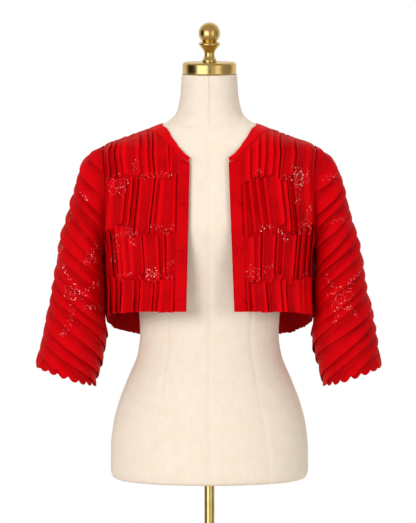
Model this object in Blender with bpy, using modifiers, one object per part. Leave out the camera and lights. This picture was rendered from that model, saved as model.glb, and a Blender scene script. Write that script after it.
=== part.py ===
"""Bolero jacket of tucked cloth on a limbless dress form with a brass stand.

Blender units are metres, +Z up. The origin is the centre of the base's flat
underside. The form faces -Y, so the wearer's left side is at +X. Tables and
sizes below are in millimetres and become metres where vertices are placed.
"""
import math

import bmesh
import bpy
import numpy as np
from mathutils import Vector

MM = 0.001

# Cloth and seams
WALL = 1.5
SEAM_GAP = 0.3
TUCK_RELIEF = 3.0
SLEEVE_RELIEF = 3.2

# Dress form, level sections: half the width, and the depths before and behind its middle plane
FORM_COLUMNS = ("height", "half_width", "front_depth", "back_depth")
FORM_SECTIONS = (
    (560, 163, 111, 113),
    (563, 170, 117, 119),
    (576, 174, 120, 122),
    (611, 174, 121, 123),
    (654, 170, 120, 120),
    (696, 159.5, 116, 113),
    (738, 143.5, 108, 102),
    (781, 126.5, 97, 90),
    (814, 122, 92, 86),
    (859, 124.5, 93, 88),
    (903, 131, 99, 92),
    (947, 141, 110, 97),
    (982, 150, 122, 102),
    (1014, 157, 128, 107),
    (1044, 160, 122, 110),
    (1071, 163, 114, 110),
    (1097, 167, 106, 108),
    (1124, 172, 98, 103),
    (1141, 175, 94, 96.5),
    (1151, 169.5, 91, 94.5),
    (1161, 146, 84.5, 87.5),
    (1171, 117.8, 77, 80.5),
    (1176, 105.3, 73, 77),
    (1182, 90.4, 69, 73),
    (1187, 79.6, 65, 70),
    (1194, 69, 61, 66),
    (1201, 61, 58, 63),
    (1212, 56, 55, 58),
    (1226, 52.5, 53, 53),
    (1247, 50, 51, 48),
    (1274, 48.5, 50, 46),
)
FORM_POWER = 2.05
FORM_SIDES = 32
FORM_RING_SPACING = 60

# Jacket, inside of the cloth, the same way, with the power of the rounded section
JACKET_COLUMNS = ("height", "half_width", "front_depth", "back_depth", "power")
JACKET_SECTIONS = (
    (790, 178, 137, 120, 2.6),
    (843, 178, 137, 120, 2.6),
    (911, 180, 136, 119, 2.6),
    (966, 182.5, 135, 118, 2.6),
    (1014, 187, 133, 117, 2.6),
    (1044, 188.5, 127, 116, 2.6),
    (1071, 189.5, 119, 115, 2.6),
    (1097, 190, 111, 112, 2.6),
    (1124, 189.5, 103, 107, 2.5),
    (1141, 187, 99, 102, 2.35),
    (1147, 183, 97.5, 101, 2.25),
    (1151, 178.2, 95.5, 99, 2.2),
    (1161, 149.6, 88, 91.5, 2.13),
    (1171, 121.2, 80.5, 84, 2.12),
    (1176, 108.5, 76.5, 80.5, 2.12),
    (1182, 93, 72, 76, 2.12),
    (1187, 81.7, 68, 73, 2.12),
    (1194, 71.3, 64, 69.5, 2.12),
)

# Neckline, by the angle round the section from the front centre: its height and the band's width
NECK_COLUMNS = ("angle", "height", "band_width")
NECKLINE = (
    (0, 1125, 7.5),
    (7.3, 1135, 8),
    (14, 1149, 9.5),
    (20, 1158.5, 11.5),
    (29, 1168, 14.5),
    (40, 1176.5, 17.5),
    (55, 1182.5, 21),
    (90, 1186.5, 26),
    (110, 1185, 26),
    (130, 1181, 25),
    (150, 1174.5, 24),
    (180, 1169, 24),
)
NECKBAND_STEPS = 48
NECKBAND_TURN = (101.5, 105.2, 107.6)

# Front edges: distance from the centre line at the top and at the hem
EDGE_TOP_HEIGHT = 1135
EDGE_HEM_HEIGHT = 868
EDGES = {"right": (34, 40), "left": (33, 43)}
FRONT_BAND_WIDTH = 22
FRONT_BAND_STEPS = 12

# Hem: height at the side, and how it falls from front to back
HEM_SIDE_HEIGHT = 843
HEM_SLOPE = -0.29
HEM_CURVE = -0.00078
FRONT_SCALLOP = 1.2
BACK_SCALLOP = 3.0

# Armhole, an ellipse seen from the side
ARMHOLE_MIDDLE = 1056.5
ARMHOLE_HALF_HEIGHT = 90.5
ARMHOLE_HALF_WIDTH = 52
SIDE_WIDENING = 10

# Tucks: how many, and how unevenly they are spread towards the side
FRONT_TUCKS = 8
BACK_TUCKS = 20
SIDE_TUCKS = 3
SPREAD = 0.15
CREST_SHIFT = 0.35

# Rows of points down a panel, with the columns part, value, lean and lift. In the yoke a value is
# the share from the seam to the first caught row, in the skirt the share from the last caught row
# to the hem, and a level is a height. Lean is where the tuck's edge lies, -1 to 1 either side of
# its stitching, and lift how far it stands.
FIRST_CAUGHT_ROW = 1102
LAST_CAUGHT_ROW = 923
FRONT_ROWS = (
    ("yoke", 0.0, 1, 0),
    ("yoke", 0.22, 0.6, 0.4),
    ("yoke", 0.46, 0.3, 0.8),
    ("yoke", 0.72, 0, 1),
    ("level", FIRST_CAUGHT_ROW, -1, 0.45),
    ("level", ARMHOLE_MIDDLE, 0, 1),
    ("level", 1008, 1, 0.45),
    ("level", 965, 0, 1),
    ("level", LAST_CAUGHT_ROW, -1, 0.45),
    ("skirt", 0.5, 0, 0.9),
    ("skirt", 1.0, 0.5, 0.8),
)
BACK_ROWS = FRONT_ROWS[:-2] + (
    ("skirt", 0.32, 0, 1),
    ("skirt", 0.62, 1, 0.45),
    ("skirt", 1.0, 0, 0.9),
)
ARMHOLE_ROW = 5

# Sleeve, inside of the cloth, by the share of its length: the ends of each ring beside the body
# and away from it, and half its depth
SLEEVE_COLUMNS = ("share", "inner_x", "inner_height", "outer_x", "outer_height", "half_depth")
SLEEVE_RINGS = (
    (0.00, 186.5, 966, 181, 1149, 52),
    (0.08, 191, 945, 209, 1127, 54.5),
    (0.20, 193, 918, 227.5, 1088, 58),
    (0.35, 190.5, 883, 243.5, 1033, 61),
    (0.50, 187, 850, 259, 977, 63),
    (0.65, 182.5, 817, 269, 915, 65),
    (0.80, 189, 780, 281, 857, 67),
    (0.92, 197, 751, 291, 808, 68),
    (1.00, 204, 729, 300.5, 762, 69),
)
SLEEVE_TUCKS_LONG = 12
SLEEVE_TUCKS_ROUND = 8
SLEEVE_LINING_SHARES = (0, 0.04, 0.08, 0.13, 0.19, 0.27, 0.37, 0.50, 0.65, 0.82, 1)
SLEEVE_SCALLOP = 3.5
ARMHOLE_CLEARANCE = 0.55

# Buttons on the left front band
BUTTON_HEIGHTS = (1131, 1054, 974, 888)
BUTTON_FROM_EDGE = 13.5
BUTTON_RADIUS = 4.5
BUTTON_THICKNESS = 3.2
BUTTON_SEAT_GAP = 0.45

# Cap, finial, pole and base, turned about the middle line: radius and height
CAP_PROFILE = (
    (0, 1295.4), (42, 1295.4), (45.5, 1294.2), (47.3, 1291), (47.3, 1277.5), (46.3, 1274.3), (0, 1274.3),
)
BALL_RADIUS = 18.9
BALL_MIDDLE = 1346.1
BALL_FOOT_ANGLE = 138
COLLAR_PROFILE = (
    (14.2, 1330.6), (18.9, 1328.2), (18.9, 1325.4), (15.6, 1322), (10.6, 1316), (8.8, 1311.5),
    (9.4, 1305), (12.6, 1299.5), (12.6, 1295.7), (0, 1295.7),
)
POLE_RADIUS = 9
POLE_FOOT = 20.3
BASE_PROFILE = (
    (0, 20), (17.5, 20), (20, 17.5), (21, 14), (90, 12), (158, 8.5), (164, 5.5), (165, 0), (0, 0),
)
TURNED_STEPS = 22
BASE_STEPS = 32
BUTTON_STEPS = 12


def smooth_curve(keys, values):
    """A curve through the rows of a table that never overshoots them."""
    keys = np.asarray(keys, float)
    values = np.asarray(values, float)
    steps = np.diff(keys)
    slopes = np.diff(values) / steps
    tangents = np.zeros(len(keys))
    tangents[0] = slopes[0]
    tangents[-1] = slopes[-1]
    for i in range(1, len(keys) - 1):
        before, after = slopes[i - 1], slopes[i]
        if before * after > 0:
            tangents[i] = 2 * before * after / (before + after)

    def value(key):
        key = np.clip(key, keys[0], keys[-1])
        i = np.clip(np.searchsorted(keys, key, side="right") - 1, 0, len(keys) - 2)
        t = (key - keys[i]) / steps[i]
        start = (1 + 2 * t) * (1 - t) ** 2 * values[i] + t * (1 - t) ** 2 * steps[i] * tangents[i]
        end = t * t * (3 - 2 * t) * values[i + 1] + t * t * (t - 1) * steps[i] * tangents[i + 1]
        return start + end

    return value


def table_curves(columns, rows):
    """One smooth curve for each column, all read by the first one."""
    keys = [row[0] for row in rows]
    return {name: smooth_curve(keys, [row[i] for row in rows]) for i, name in enumerate(columns)}


FORM = table_curves(FORM_COLUMNS, FORM_SECTIONS)
JACKET = table_curves(JACKET_COLUMNS, JACKET_SECTIONS)
NECK = table_curves(NECK_COLUMNS, NECKLINE)
SLEEVE = table_curves(SLEEVE_COLUMNS, SLEEVE_RINGS)


def jacket_half_depth(z, back):
    return np.where(back, JACKET["back_depth"](z), JACKET["front_depth"](z))


def jacket_depth(x, z, back):
    """The signed y of the jacket's inside at a width x and height z."""
    power = JACKET["power"](z)
    rest = np.clip(1 - (np.abs(x) / JACKET["half_width"](z)) ** power, 0, 1)
    return np.where(back, 1, -1) * jacket_half_depth(z, back) * rest ** (1 / power)


def jacket_width(y, z, back):
    """The x of the jacket's inside, on its +X half, at a depth y and height z."""
    power = JACKET["power"](z)
    rest = np.clip(1 - (np.abs(y) / jacket_half_depth(z, back)) ** power, 0, 1)
    return JACKET["half_width"](z) * rest ** (1 / power)


def jacket_level(point):
    """Below 1 inside the jacket's inner surface and above 1 outside it."""
    x, y, z = point[..., 0], point[..., 1], point[..., 2]
    power = JACKET["power"](z)
    across = (np.abs(x) / JACKET["half_width"](z)) ** power
    deep = (np.abs(y) / jacket_half_depth(z, y > 0)) ** power
    return across + deep


def jacket_outward(point):
    """The direction that points out of the cloth, from the change of level around the point."""
    reach = 0.05
    slope = np.stack([
        jacket_level(point + reach * axis) - jacket_level(point - reach * axis) for axis in np.eye(3)
    ], axis=-1)
    return slope / np.linalg.norm(slope, axis=-1, keepdims=True)


def shoulder_height(x):
    """The height of the shoulder line at a width x."""
    heights = np.linspace(1194, 1141, 400)
    return np.interp(np.abs(x), JACKET["half_width"](heights), heights)


def ring_point(angle, z):
    """A point of the jacket's inside at an angle round from the front centre towards +X."""
    power = JACKET["power"](z)
    back = np.cos(angle) < 0
    x = JACKET["half_width"](z) * np.sign(np.sin(angle)) * np.abs(np.sin(angle)) ** (2 / power)
    y = np.where(back, 1, -1) * jacket_half_depth(z, back) * np.abs(np.cos(angle)) ** (2 / power)
    return np.stack([x, y, z + 0 * x], axis=-1)


def neckband_point(angle, share):
    """A point of the neckband: share 0 is the neckline and 1 the band's outer edge."""
    half_turn = np.degrees(np.abs(angle))
    top = NECK["height"](half_turn)
    width = NECK["band_width"](half_turn) * share
    start = ring_point(angle, top)
    high, low = top, top - 40
    for _ in range(30):
        middle = (high + low) / 2
        far = np.linalg.norm(ring_point(angle, middle) - start, axis=-1) > width
        high = np.where(far, high, middle)
        low = np.where(far, middle, low)
    return ring_point(angle, (high + low) / 2)


def edge_width(side, z):
    """Distance of a front edge from the centre line."""
    top, hem = EDGES[side]
    return top + (hem - top) * (EDGE_TOP_HEIGHT - z) / (EDGE_TOP_HEIGHT - EDGE_HEM_HEIGHT)


def edge_angle(side):
    """The angle at which the neckband ends on a front edge."""
    width = edge_width(side, EDGE_TOP_HEIGHT) / JACKET["half_width"](EDGE_TOP_HEIGHT)
    return math.asin(width ** (JACKET["power"](EDGE_TOP_HEIGHT) / 2))


def top_height(x, back):
    """Where a panel's top lies at a width x: under the neckband, or on the shoulder line."""
    first, last = (90, 180) if back else (0, 90)
    outer = neckband_point(np.radians(np.linspace(first, last, 60)), 1)
    outer = outer[np.argsort(outer[:, 0])]
    aside = 2.5 * SEAM_GAP
    under_band = np.interp(np.abs(x) - aside, outer[:, 0], outer[:, 2]) - aside
    band_end = outer[-1, 0] + aside
    return np.where(np.abs(x) < band_end, under_band, shoulder_height(x))


def hem_height(y):
    return HEM_SIDE_HEIGHT + HEM_SLOPE * y + HEM_CURVE * y * y


def armhole_depth(z):
    """Half the width of the side strip: the armhole's ellipse, then the strip below it."""
    rise = np.clip((z - ARMHOLE_MIDDLE) / ARMHOLE_HALF_HEIGHT, 0, 1)
    below = np.clip(ARMHOLE_MIDDLE - ARMHOLE_HALF_HEIGHT - z, 0, None)
    widening = SIDE_WIDENING * below / (ARMHOLE_MIDDLE - ARMHOLE_HALF_HEIGHT - HEM_SIDE_HEIGHT)
    return ARMHOLE_HALF_WIDTH * np.sqrt(1 - rise ** 2) + widening


def spread(share):
    return share * (1 + SPREAD) - SPREAD * share * abs(share)


def column_place(tuck, z, start, tucks, back):
    """Width and depth of a panel's column at a height.

    Columns are counted in tucks from the start width. After the last tuck they pass the armhole
    and go round the side.
    """
    strip = armhole_depth(z)
    tip = jacket_width(strip, min(z, ARMHOLE_MIDDLE + ARMHOLE_HALF_HEIGHT), back)
    if tuck <= tucks:
        x = start + (tip - start) * spread(tuck / tucks)
        return x, jacket_depth(x, z, back)
    round_side = (tuck - tucks) / SIDE_TUCKS
    y = max(strip * (1 - round_side), SEAM_GAP * 0.7)
    return jacket_width(y, z, back), y if back else -y


def column_heights(tuck, start, tucks, rows, back):
    """Heights of a column's rows of points, from its top down to its hem."""
    z = float(FIRST_CAUGHT_ROW)
    for _ in range(4):
        z = float(top_height(column_place(tuck, z, start(z), tucks, back)[0], back))
    top = z
    hem = float(hem_height(column_place(tuck, HEM_SIDE_HEIGHT, start(HEM_SIDE_HEIGHT), tucks, back)[1]))
    round_side = max(tuck - tucks, 0) / SIDE_TUCKS
    curve_start = ARMHOLE_MIDDLE - ARMHOLE_HALF_HEIGHT * math.sqrt(1 - (1 - round_side) ** 2)
    squeeze = (curve_start - LAST_CAUGHT_ROW) / (ARMHOLE_MIDDLE - LAST_CAUGHT_ROW)
    heights = []
    for part, value, _, _ in rows:
        if part == "yoke":
            heights.append(top - (top - FIRST_CAUGHT_ROW) * value ** 2)
        elif part == "level":
            heights.append(LAST_CAUGHT_ROW + (value - LAST_CAUGHT_ROW) * squeeze)
        else:
            heights.append(LAST_CAUGHT_ROW - (LAST_CAUGHT_ROW - hem) * value)
    return heights


def tuck_height(phase, lean):
    """How high a tuck stands, 0 to 1, at a phase of -0.5 to 0.5 about its stitching."""
    crest = CREST_SHIFT * lean
    root_side = CREST_SHIFT * (1 + abs(lean))
    free_side = CREST_SHIFT - 0.1 * abs(lean)
    before, after = (root_side, free_side) if lean >= 0 else (free_side, root_side)
    reach = before if phase < crest else after
    return max(0.0, 1 - abs(phase - crest) / reach)


def armhole_fade(y, z):
    """Tucks die away towards the armhole seam."""
    away = math.hypot(y / ARMHOLE_HALF_WIDTH, (z - ARMHOLE_MIDDLE) / ARMHOLE_HALF_HEIGHT) - 1
    return min(max(away / 0.4, 0), 1)


def column_at(x, start, tucks):
    """The place of a column, counted in tucks, that starts from the shoulder at a width x."""
    z = float(shoulder_height(x))
    low, high = 0.0, float(tucks)
    for _ in range(30):
        middle = (low + high) / 2
        if column_place(middle, z, start(z), tucks, False)[0] < x:
            low = middle
        else:
            high = middle
    return middle


def seam_columns(start, tucks):
    """More columns where the neckband's edge turns over the shoulder, so that the seam stays even."""
    return [column_at(x, start, tucks) for x in NECKBAND_TURN]


def tuck_columns(first, last):
    """Columns that carry the tucks from first to last: three a tuck."""
    return [tuck + 0.5 + phase for tuck in range(first, last) for phase in (-CREST_SHIFT, 0, CREST_SHIFT)]


def material(name, colour, roughness, metallic):
    mat = bpy.data.materials.new(name)
    mat.use_nodes = True
    shader = mat.node_tree.nodes["Principled BSDF"]
    shader.inputs["Base Color"].default_value = (*colour, 1)
    shader.inputs["Roughness"].default_value = roughness
    shader.inputs["Metallic"].default_value = metallic
    return mat


def add_object(name, mesh, mat):
    obj = bpy.data.objects.new(name, mesh)
    obj.data.materials.append(mat)
    PARTS.objects.link(obj)
    return obj


def add_closed(name, bm, mat):
    """Turns finished geometry into an object whose faces point out."""
    bmesh.ops.recalc_face_normals(bm, faces=bm.faces)
    if bm.calc_volume(signed=True) < 0:
        bmesh.ops.reverse_faces(bm, faces=bm.faces)
    mesh = bpy.data.meshes.new(name)
    bm.to_mesh(mesh)
    bm.free()
    return add_object(name, mesh, mat)


def cloth_wall(name, inside, relief, mat, cut_away=None):
    """A wall of cloth between its inner points and those moved out by its thickness and relief.

    inside holds a point for each column and row, and relief a height for each.
    """
    columns, rows = relief.shape[0] - 1, relief.shape[1] - 1
    outside = inside + jacket_outward(inside) * (WALL + relief)[..., None]
    bm = bmesh.new()
    bmesh.ops.create_grid(bm, x_segments=columns, y_segments=rows, size=0.5)
    if cut_away:
        hidden = []
        for face in bm.faces:
            middle = face.calc_center_median()
            if cut_away((middle.x + 0.5) * columns, (0.5 - middle.y) * rows):
                hidden.append(face)
        bmesh.ops.delete(bm, geom=hidden, context="FACES")
    grown = bmesh.ops.extrude_face_region(bm, geom=bm.faces[:], use_keep_orig=True)
    outer = {item for item in grown["geom"] if isinstance(item, bmesh.types.BMVert)}
    for vert in bm.verts:
        column = round((vert.co.x + 0.5) * columns)
        row = round((0.5 - vert.co.y) * rows)
        place = outside if vert in outer else inside
        vert.co = Vector(place[column, row] * MM)
    return add_closed(name, bm, mat)


def panel_points(columns, start, tucks, rows, back, scallop):
    """Inner points and reliefs of a panel on the +X half, column by column."""
    inside = np.zeros((len(columns), len(rows), 3))
    relief = np.zeros((len(columns), len(rows)))
    for i, tuck in enumerate(columns):
        heights = column_heights(tuck, start, tucks, rows, back)
        phase = tuck % 1 - 0.5
        on_seam = tuck == int(tuck)
        for j, (part, value, lean, lift) in enumerate(rows):
            z = heights[j]
            stand = 0 if on_seam else tuck_height(phase, lean) * lift
            if j == len(rows) - 1:
                z -= scallop * (stand - 0.4)
            x, y = column_place(tuck, z, start(z), tucks, back)
            if j == 0:
                y = math.copysign(max(abs(y), SEAM_GAP * 0.7), y)
            inside[i, j] = (x, y, z)
            relief[i, j] = TUCK_RELIEF * stand * armhole_fade(y, z)
    return inside, relief


def make_front(side, sign, mat):
    """One front: tucks from the front band to the armhole, then round to the side seam."""
    def start(z):
        return edge_width(side, z) + FRONT_BAND_WIDTH + SEAM_GAP / 2

    last = FRONT_TUCKS + SIDE_TUCKS
    columns = [0, FRONT_TUCKS, last] + tuck_columns(0, last) + seam_columns(start, FRONT_TUCKS)
    columns.sort()
    tip = columns.index(FRONT_TUCKS)
    inside, relief = panel_points(columns, start, FRONT_TUCKS, FRONT_ROWS, False, FRONT_SCALLOP)
    inside[..., 0] *= sign
    return cloth_wall("front_" + side, inside, relief, mat,
                      lambda column, row: column > tip and row < ARMHOLE_ROW)


def make_back(mat):
    """The back, worked out on its +X half and mirrored about the centre line."""
    half = BACK_TUCKS // 2

    def middle(z):
        return 0

    columns = [half, half + SIDE_TUCKS] + tuck_columns(0, half + SIDE_TUCKS) + seam_columns(middle, half)
    columns.sort()
    inside, relief = panel_points(columns, middle, half, BACK_ROWS, True, BACK_SCALLOP)
    inside = np.concatenate([inside[::-1] * (-1, 1, 1), inside])
    relief = np.concatenate([relief[::-1], relief])
    tip = columns.index(half) + len(columns)
    mirrored_tip = len(relief) - 1 - tip
    return cloth_wall("back", inside, relief, mat,
                      lambda column, row: row < ARMHOLE_ROW and not mirrored_tip < column < tip)


def make_neckband(mat):
    """The plain band along the neckline, from front corner round the back to front corner."""
    first = edge_angle("left")
    last = 2 * math.pi - edge_angle("right")
    angles = np.linspace(first, last, NECKBAND_STEPS + 1)
    angles = np.where(angles > math.pi, angles - 2 * math.pi, angles)
    inside = np.stack([neckband_point(angles, share) for share in (0, 0.5, 1)], axis=1)
    return cloth_wall("neckband", inside, np.zeros(inside.shape[:2]), mat)


def make_front_band(side, sign, mat):
    """The plain band down a front edge, from the neckband to the hem."""
    inside = np.zeros((3, FRONT_BAND_STEPS + 1, 3))
    for i, across in enumerate((0, FRONT_BAND_WIDTH / 2, FRONT_BAND_WIDTH - SEAM_GAP / 2)):
        top = float(top_height(edge_width(side, EDGE_TOP_HEIGHT) + across, False))
        hem_x = edge_width(side, EDGE_HEM_HEIGHT) + across
        hem = float(hem_height(jacket_depth(hem_x, EDGE_HEM_HEIGHT, False)))
        for j in range(FRONT_BAND_STEPS + 1):
            z = top - (top - hem) * j / FRONT_BAND_STEPS
            x = edge_width(side, z) + across
            inside[i, j] = (sign * x, jacket_depth(x, z, False), z)
    return cloth_wall("front_band_" + side, inside, np.zeros(inside.shape[:2]), mat)


def sleeve_inside(share, angle):
    """A point of a sleeve's inside. Angle 0 is away from the body and a quarter turn is in front."""
    toward = (1 - np.cos(angle)) / 2
    armhole_y = -ARMHOLE_HALF_WIDTH * np.sin(angle)
    armhole_z = ARMHOLE_MIDDLE + ARMHOLE_HALF_HEIGHT * np.cos(angle)
    body_edge = np.stack([jacket_width(armhole_y, armhole_z, armhole_y > 0), armhole_y, armhole_z], axis=-1)
    clear_x = WALL * (jacket_outward(body_edge)[..., 0] + np.clip(-np.cos(angle), 0, 1)) + ARMHOLE_CLEARANCE
    armhole = body_edge + clear_x[..., None] * (1, 0, 0)

    def on_ring(at):
        x = SLEEVE["outer_x"](at) * (1 - toward) + SLEEVE["inner_x"](at) * toward
        z = SLEEVE["outer_height"](at) * (1 - toward) + SLEEVE["inner_height"](at) * toward
        return np.stack([x, -SLEEVE["half_depth"](at) * np.sin(angle), z], axis=-1)

    fade = np.clip(1 - share / 0.3, 0, 1) ** 2 * (1 + 2 * np.clip(share / 0.3, 0, 1))
    return on_ring(share) + (armhole - on_ring(np.zeros_like(share))) * fade[..., None]


def sleeve_outward(share, angle):
    """The direction out of a sleeve's cloth, square to its two directions on the surface."""
    reach = 0.004
    further, nearer = np.clip(share + reach, 0, 1), np.clip(share - reach, 0, 1)
    along = sleeve_inside(further, angle) - sleeve_inside(nearer, angle)
    around = sleeve_inside(share, angle + reach) - sleeve_inside(share, angle - reach)
    normal = np.cross(around, along)
    return normal / np.linalg.norm(normal, axis=-1, keepdims=True)


def make_sleeve(side, sign, mat):
    """One sleeve, a tube whose diagonal tucks run round it from its outer to its inner side.

    Its rings run down the outside to the cuff edge and back up the plain inside, and the last
    ring meets the first.
    """
    around = 3 * SLEEVE_TUCKS_ROUND
    down = 3 * SLEEVE_TUCKS_LONG
    shares = [i / down for i in range(down + 1)] + list(reversed(SLEEVE_LINING_SHARES)) + [0]
    bm = bmesh.new()
    bmesh.ops.create_cone(bm, cap_ends=False, segments=around, radius1=1, radius2=1, depth=1)
    upright = [edge for edge in bm.edges if abs(edge.verts[0].co.z - edge.verts[1].co.z) > 0.5]
    bmesh.ops.subdivide_edges(bm, edges=upright, cuts=len(shares) - 2, use_grid_fill=True)
    verts = list(bm.verts)
    ring = np.array([round((0.5 - vert.co.z) * (len(shares) - 1)) for vert in verts])
    full_turn = 2 * math.pi
    turns = [round(math.atan2(vert.co.y, vert.co.x) * around / full_turn) for vert in verts]
    turn = np.array(turns) % around
    on_outside = (ring <= down) | (ring == len(shares) - 1)
    share = np.array(shares)[ring]
    angle = full_turn * turn / around
    step = np.where(on_outside, (ring % (len(shares) - 1) - turn) % 3, 0)
    stand = np.array([0, 0.35, 1])[step]
    stand = stand * np.clip(share / 0.07, 0, 1)
    beside_body = np.clip(-np.cos(angle) - 0.3, 0, 0.7) / 0.7 * np.clip(1.6 - 2 * share, 0, 1)
    out = np.where(on_outside, WALL + SLEEVE_RELIEF * stand * (1 - 0.75 * beside_body), 0)
    points = sleeve_inside(share, angle) + sleeve_outward(share, angle) * out[:, None]
    hem_step = (down - turn) % 3
    hem_drop = SLEEVE_SCALLOP * np.array([-0.4, 0.1, 1])[hem_step]
    points[:, 2] -= np.where(share == 1, hem_drop, 0)
    points[:, 0] *= sign
    for vert, point in zip(verts, points):
        vert.co = Vector(point * MM)
    split_along_tucks(bm, verts, ring, turn, around, down)
    bmesh.ops.remove_doubles(bm, verts=bm.verts, dist=1e-6)
    return add_closed("sleeve_" + side, bm, mat)


def split_along_tucks(bm, verts, ring, turn, around, down):
    """Splits the outer faces along the tucks, so that each crest is an unbroken edge."""
    place = {vert: (ring[i], turn[i]) for i, vert in enumerate(verts)}
    for face in list(bm.faces):
        corners = sorted(face.verts, key=lambda vert: place[vert][0])
        if place[corners[-1]][0] > down:
            continue
        for upper in corners[:2]:
            for lower in corners[2:]:
                if (place[lower][1] - place[upper][1]) % around == 1:
                    bmesh.utils.face_split(face, upper, lower)
                    break
            else:
                continue
            break


def form_heights():
    """Heights of the form's rings: the rows of its table, and one between two far rows."""
    heights = []
    for (low, *_), (high, *_) in zip(FORM_SECTIONS, FORM_SECTIONS[1:]):
        heights += [low, (low + high) / 2] if high - low > FORM_RING_SPACING else [low]
    return np.array(heights + [FORM_SECTIONS[-1][0]], float)


def make_form(mat):
    """The torso, level rings from its flat foot up to the neck, closed at both ends."""
    heights = form_heights()
    bm = bmesh.new()
    bmesh.ops.create_cone(bm, cap_ends=True, segments=FORM_SIDES, radius1=1, radius2=1, depth=1)
    upright = [edge for edge in bm.edges if abs(edge.verts[0].co.z - edge.verts[1].co.z) > 0.5]
    bmesh.ops.subdivide_edges(bm, edges=upright, cuts=len(heights) - 2, use_grid_fill=True)
    verts = list(bm.verts)
    ring = [round((vert.co.z + 0.5) * (len(heights) - 1)) for vert in verts]
    z = heights[ring]
    angle = np.array([math.atan2(vert.co.y, vert.co.x) for vert in verts])
    depth = np.where(angle < 0, FORM["front_depth"](z), FORM["back_depth"](z))
    x = FORM["half_width"](z) * np.sign(np.cos(angle)) * np.abs(np.cos(angle)) ** (2 / FORM_POWER)
    y = depth * np.sign(np.sin(angle)) * np.abs(np.sin(angle)) ** (2 / FORM_POWER)
    for vert, point in zip(verts, np.stack([x, y, z], axis=-1) * MM):
        vert.co = Vector(point)
    form = add_closed("form_torso", bm, mat)
    form.data.shade_smooth()
    return form


def turned(name, profile, steps, mat):
    """A piece turned about the middle line from its profile, listed from the top down."""
    bm = bmesh.new()
    points = [bm.verts.new((radius * MM, 0, height * MM)) for radius, height in profile]
    for upper, lower in zip(points, points[1:]):
        bm.edges.new((upper, lower))
    mesh = bpy.data.meshes.new(name)
    bm.to_mesh(mesh)
    bm.free()
    obj = add_object(name, mesh, mat)
    screw = obj.modifiers.new("Turn", "SCREW")
    screw.axis = "Z"
    screw.steps = steps
    screw.render_steps = steps
    screw.use_merge_vertices = True
    screw.merge_threshold = 0.00001
    screw.use_smooth_shade = True
    return obj


def finial_profile():
    """Ball, collar, neck and foot of the finial, from the top down."""
    ball = []
    for i in range(8):
        angle = math.radians(BALL_FOOT_ANGLE) * i / 7
        ball.append((BALL_RADIUS * math.sin(angle), BALL_MIDDLE + BALL_RADIUS * math.cos(angle)))
    return ball + list(COLLAR_PROFILE)


def make_button(number, height, mat):
    """A domed covered button, just clear of the left front band."""
    x = edge_width("left", height) + BUTTON_FROM_EDGE
    seat = np.array([x, float(jacket_depth(x, height, False)), height])
    outward = jacket_outward(seat)
    profile = [
        (BUTTON_RADIUS * math.sin(math.radians(angle)),
         BUTTON_THICKNESS * (0.35 + 0.65 * math.cos(math.radians(angle))))
        for angle in (0, 30, 60, 90)
    ]
    button = turned(f"button_{number}", profile + [(BUTTON_RADIUS * 0.9, 0), (0, 0)], BUTTON_STEPS, mat)
    button.location = Vector((seat + outward * (WALL + BUTTON_SEAT_GAP)) * MM)
    button.rotation_mode = "QUATERNION"
    button.rotation_quaternion = Vector((0, 0, 1)).rotation_difference(Vector(outward))
    return button


def make_pole(mat):
    """The tube between the base and the form's foot."""
    top = FORM_SECTIONS[0][0] - SEAM_GAP
    bm = bmesh.new()
    bmesh.ops.create_cone(bm, cap_ends=True, segments=24, radius1=POLE_RADIUS * MM, radius2=POLE_RADIUS * MM,
                          depth=(top - POLE_FOOT) * MM)
    bmesh.ops.translate(bm, verts=bm.verts, vec=(0, 0, (top + POLE_FOOT) / 2 * MM))
    pole = add_closed("stand_pole", bm, mat)
    pole.data.shade_smooth()
    pole.data.set_sharp_from_angle(angle=math.radians(40))
    return pole


for old in list(bpy.data.objects):
    bpy.data.objects.remove(old)
PARTS = bpy.data.collections.new("bolero_jacket_on_dress_form")
bpy.context.scene.collection.children.link(PARTS)

red_cloth = material("red_cloth", (0.62, 0.005, 0.008), 0.55, 0)
red_band = material("red_band", (0.58, 0.004, 0.008), 0.5, 0)
cream_linen = material("cream_linen", (0.87, 0.78, 0.66), 0.85, 0)
brass = material("brass", (0.72, 0.52, 0.22), 0.25, 1)

turned("stand_base", BASE_PROFILE, BASE_STEPS, brass)
make_pole(brass)
make_form(cream_linen)
turned("neck_cap", CAP_PROFILE, TURNED_STEPS, brass)
turned("neck_finial", finial_profile(), TURNED_STEPS, brass)
for side_name, side_sign in (("right", -1), ("left", 1)):
    make_front(side_name, side_sign, red_cloth)
    make_sleeve(side_name, side_sign, red_cloth)
    make_front_band(side_name, side_sign, red_band)
make_back(red_cloth)
make_neckband(red_band)
for count, button_height in enumerate(BUTTON_HEIGHTS, start=1):
    make_button(count, button_height, red_band)
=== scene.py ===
import math

import bmesh
import bpy
import numpy as np
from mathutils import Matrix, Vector
from mathutils.bvhtree import BVHTree


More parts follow.
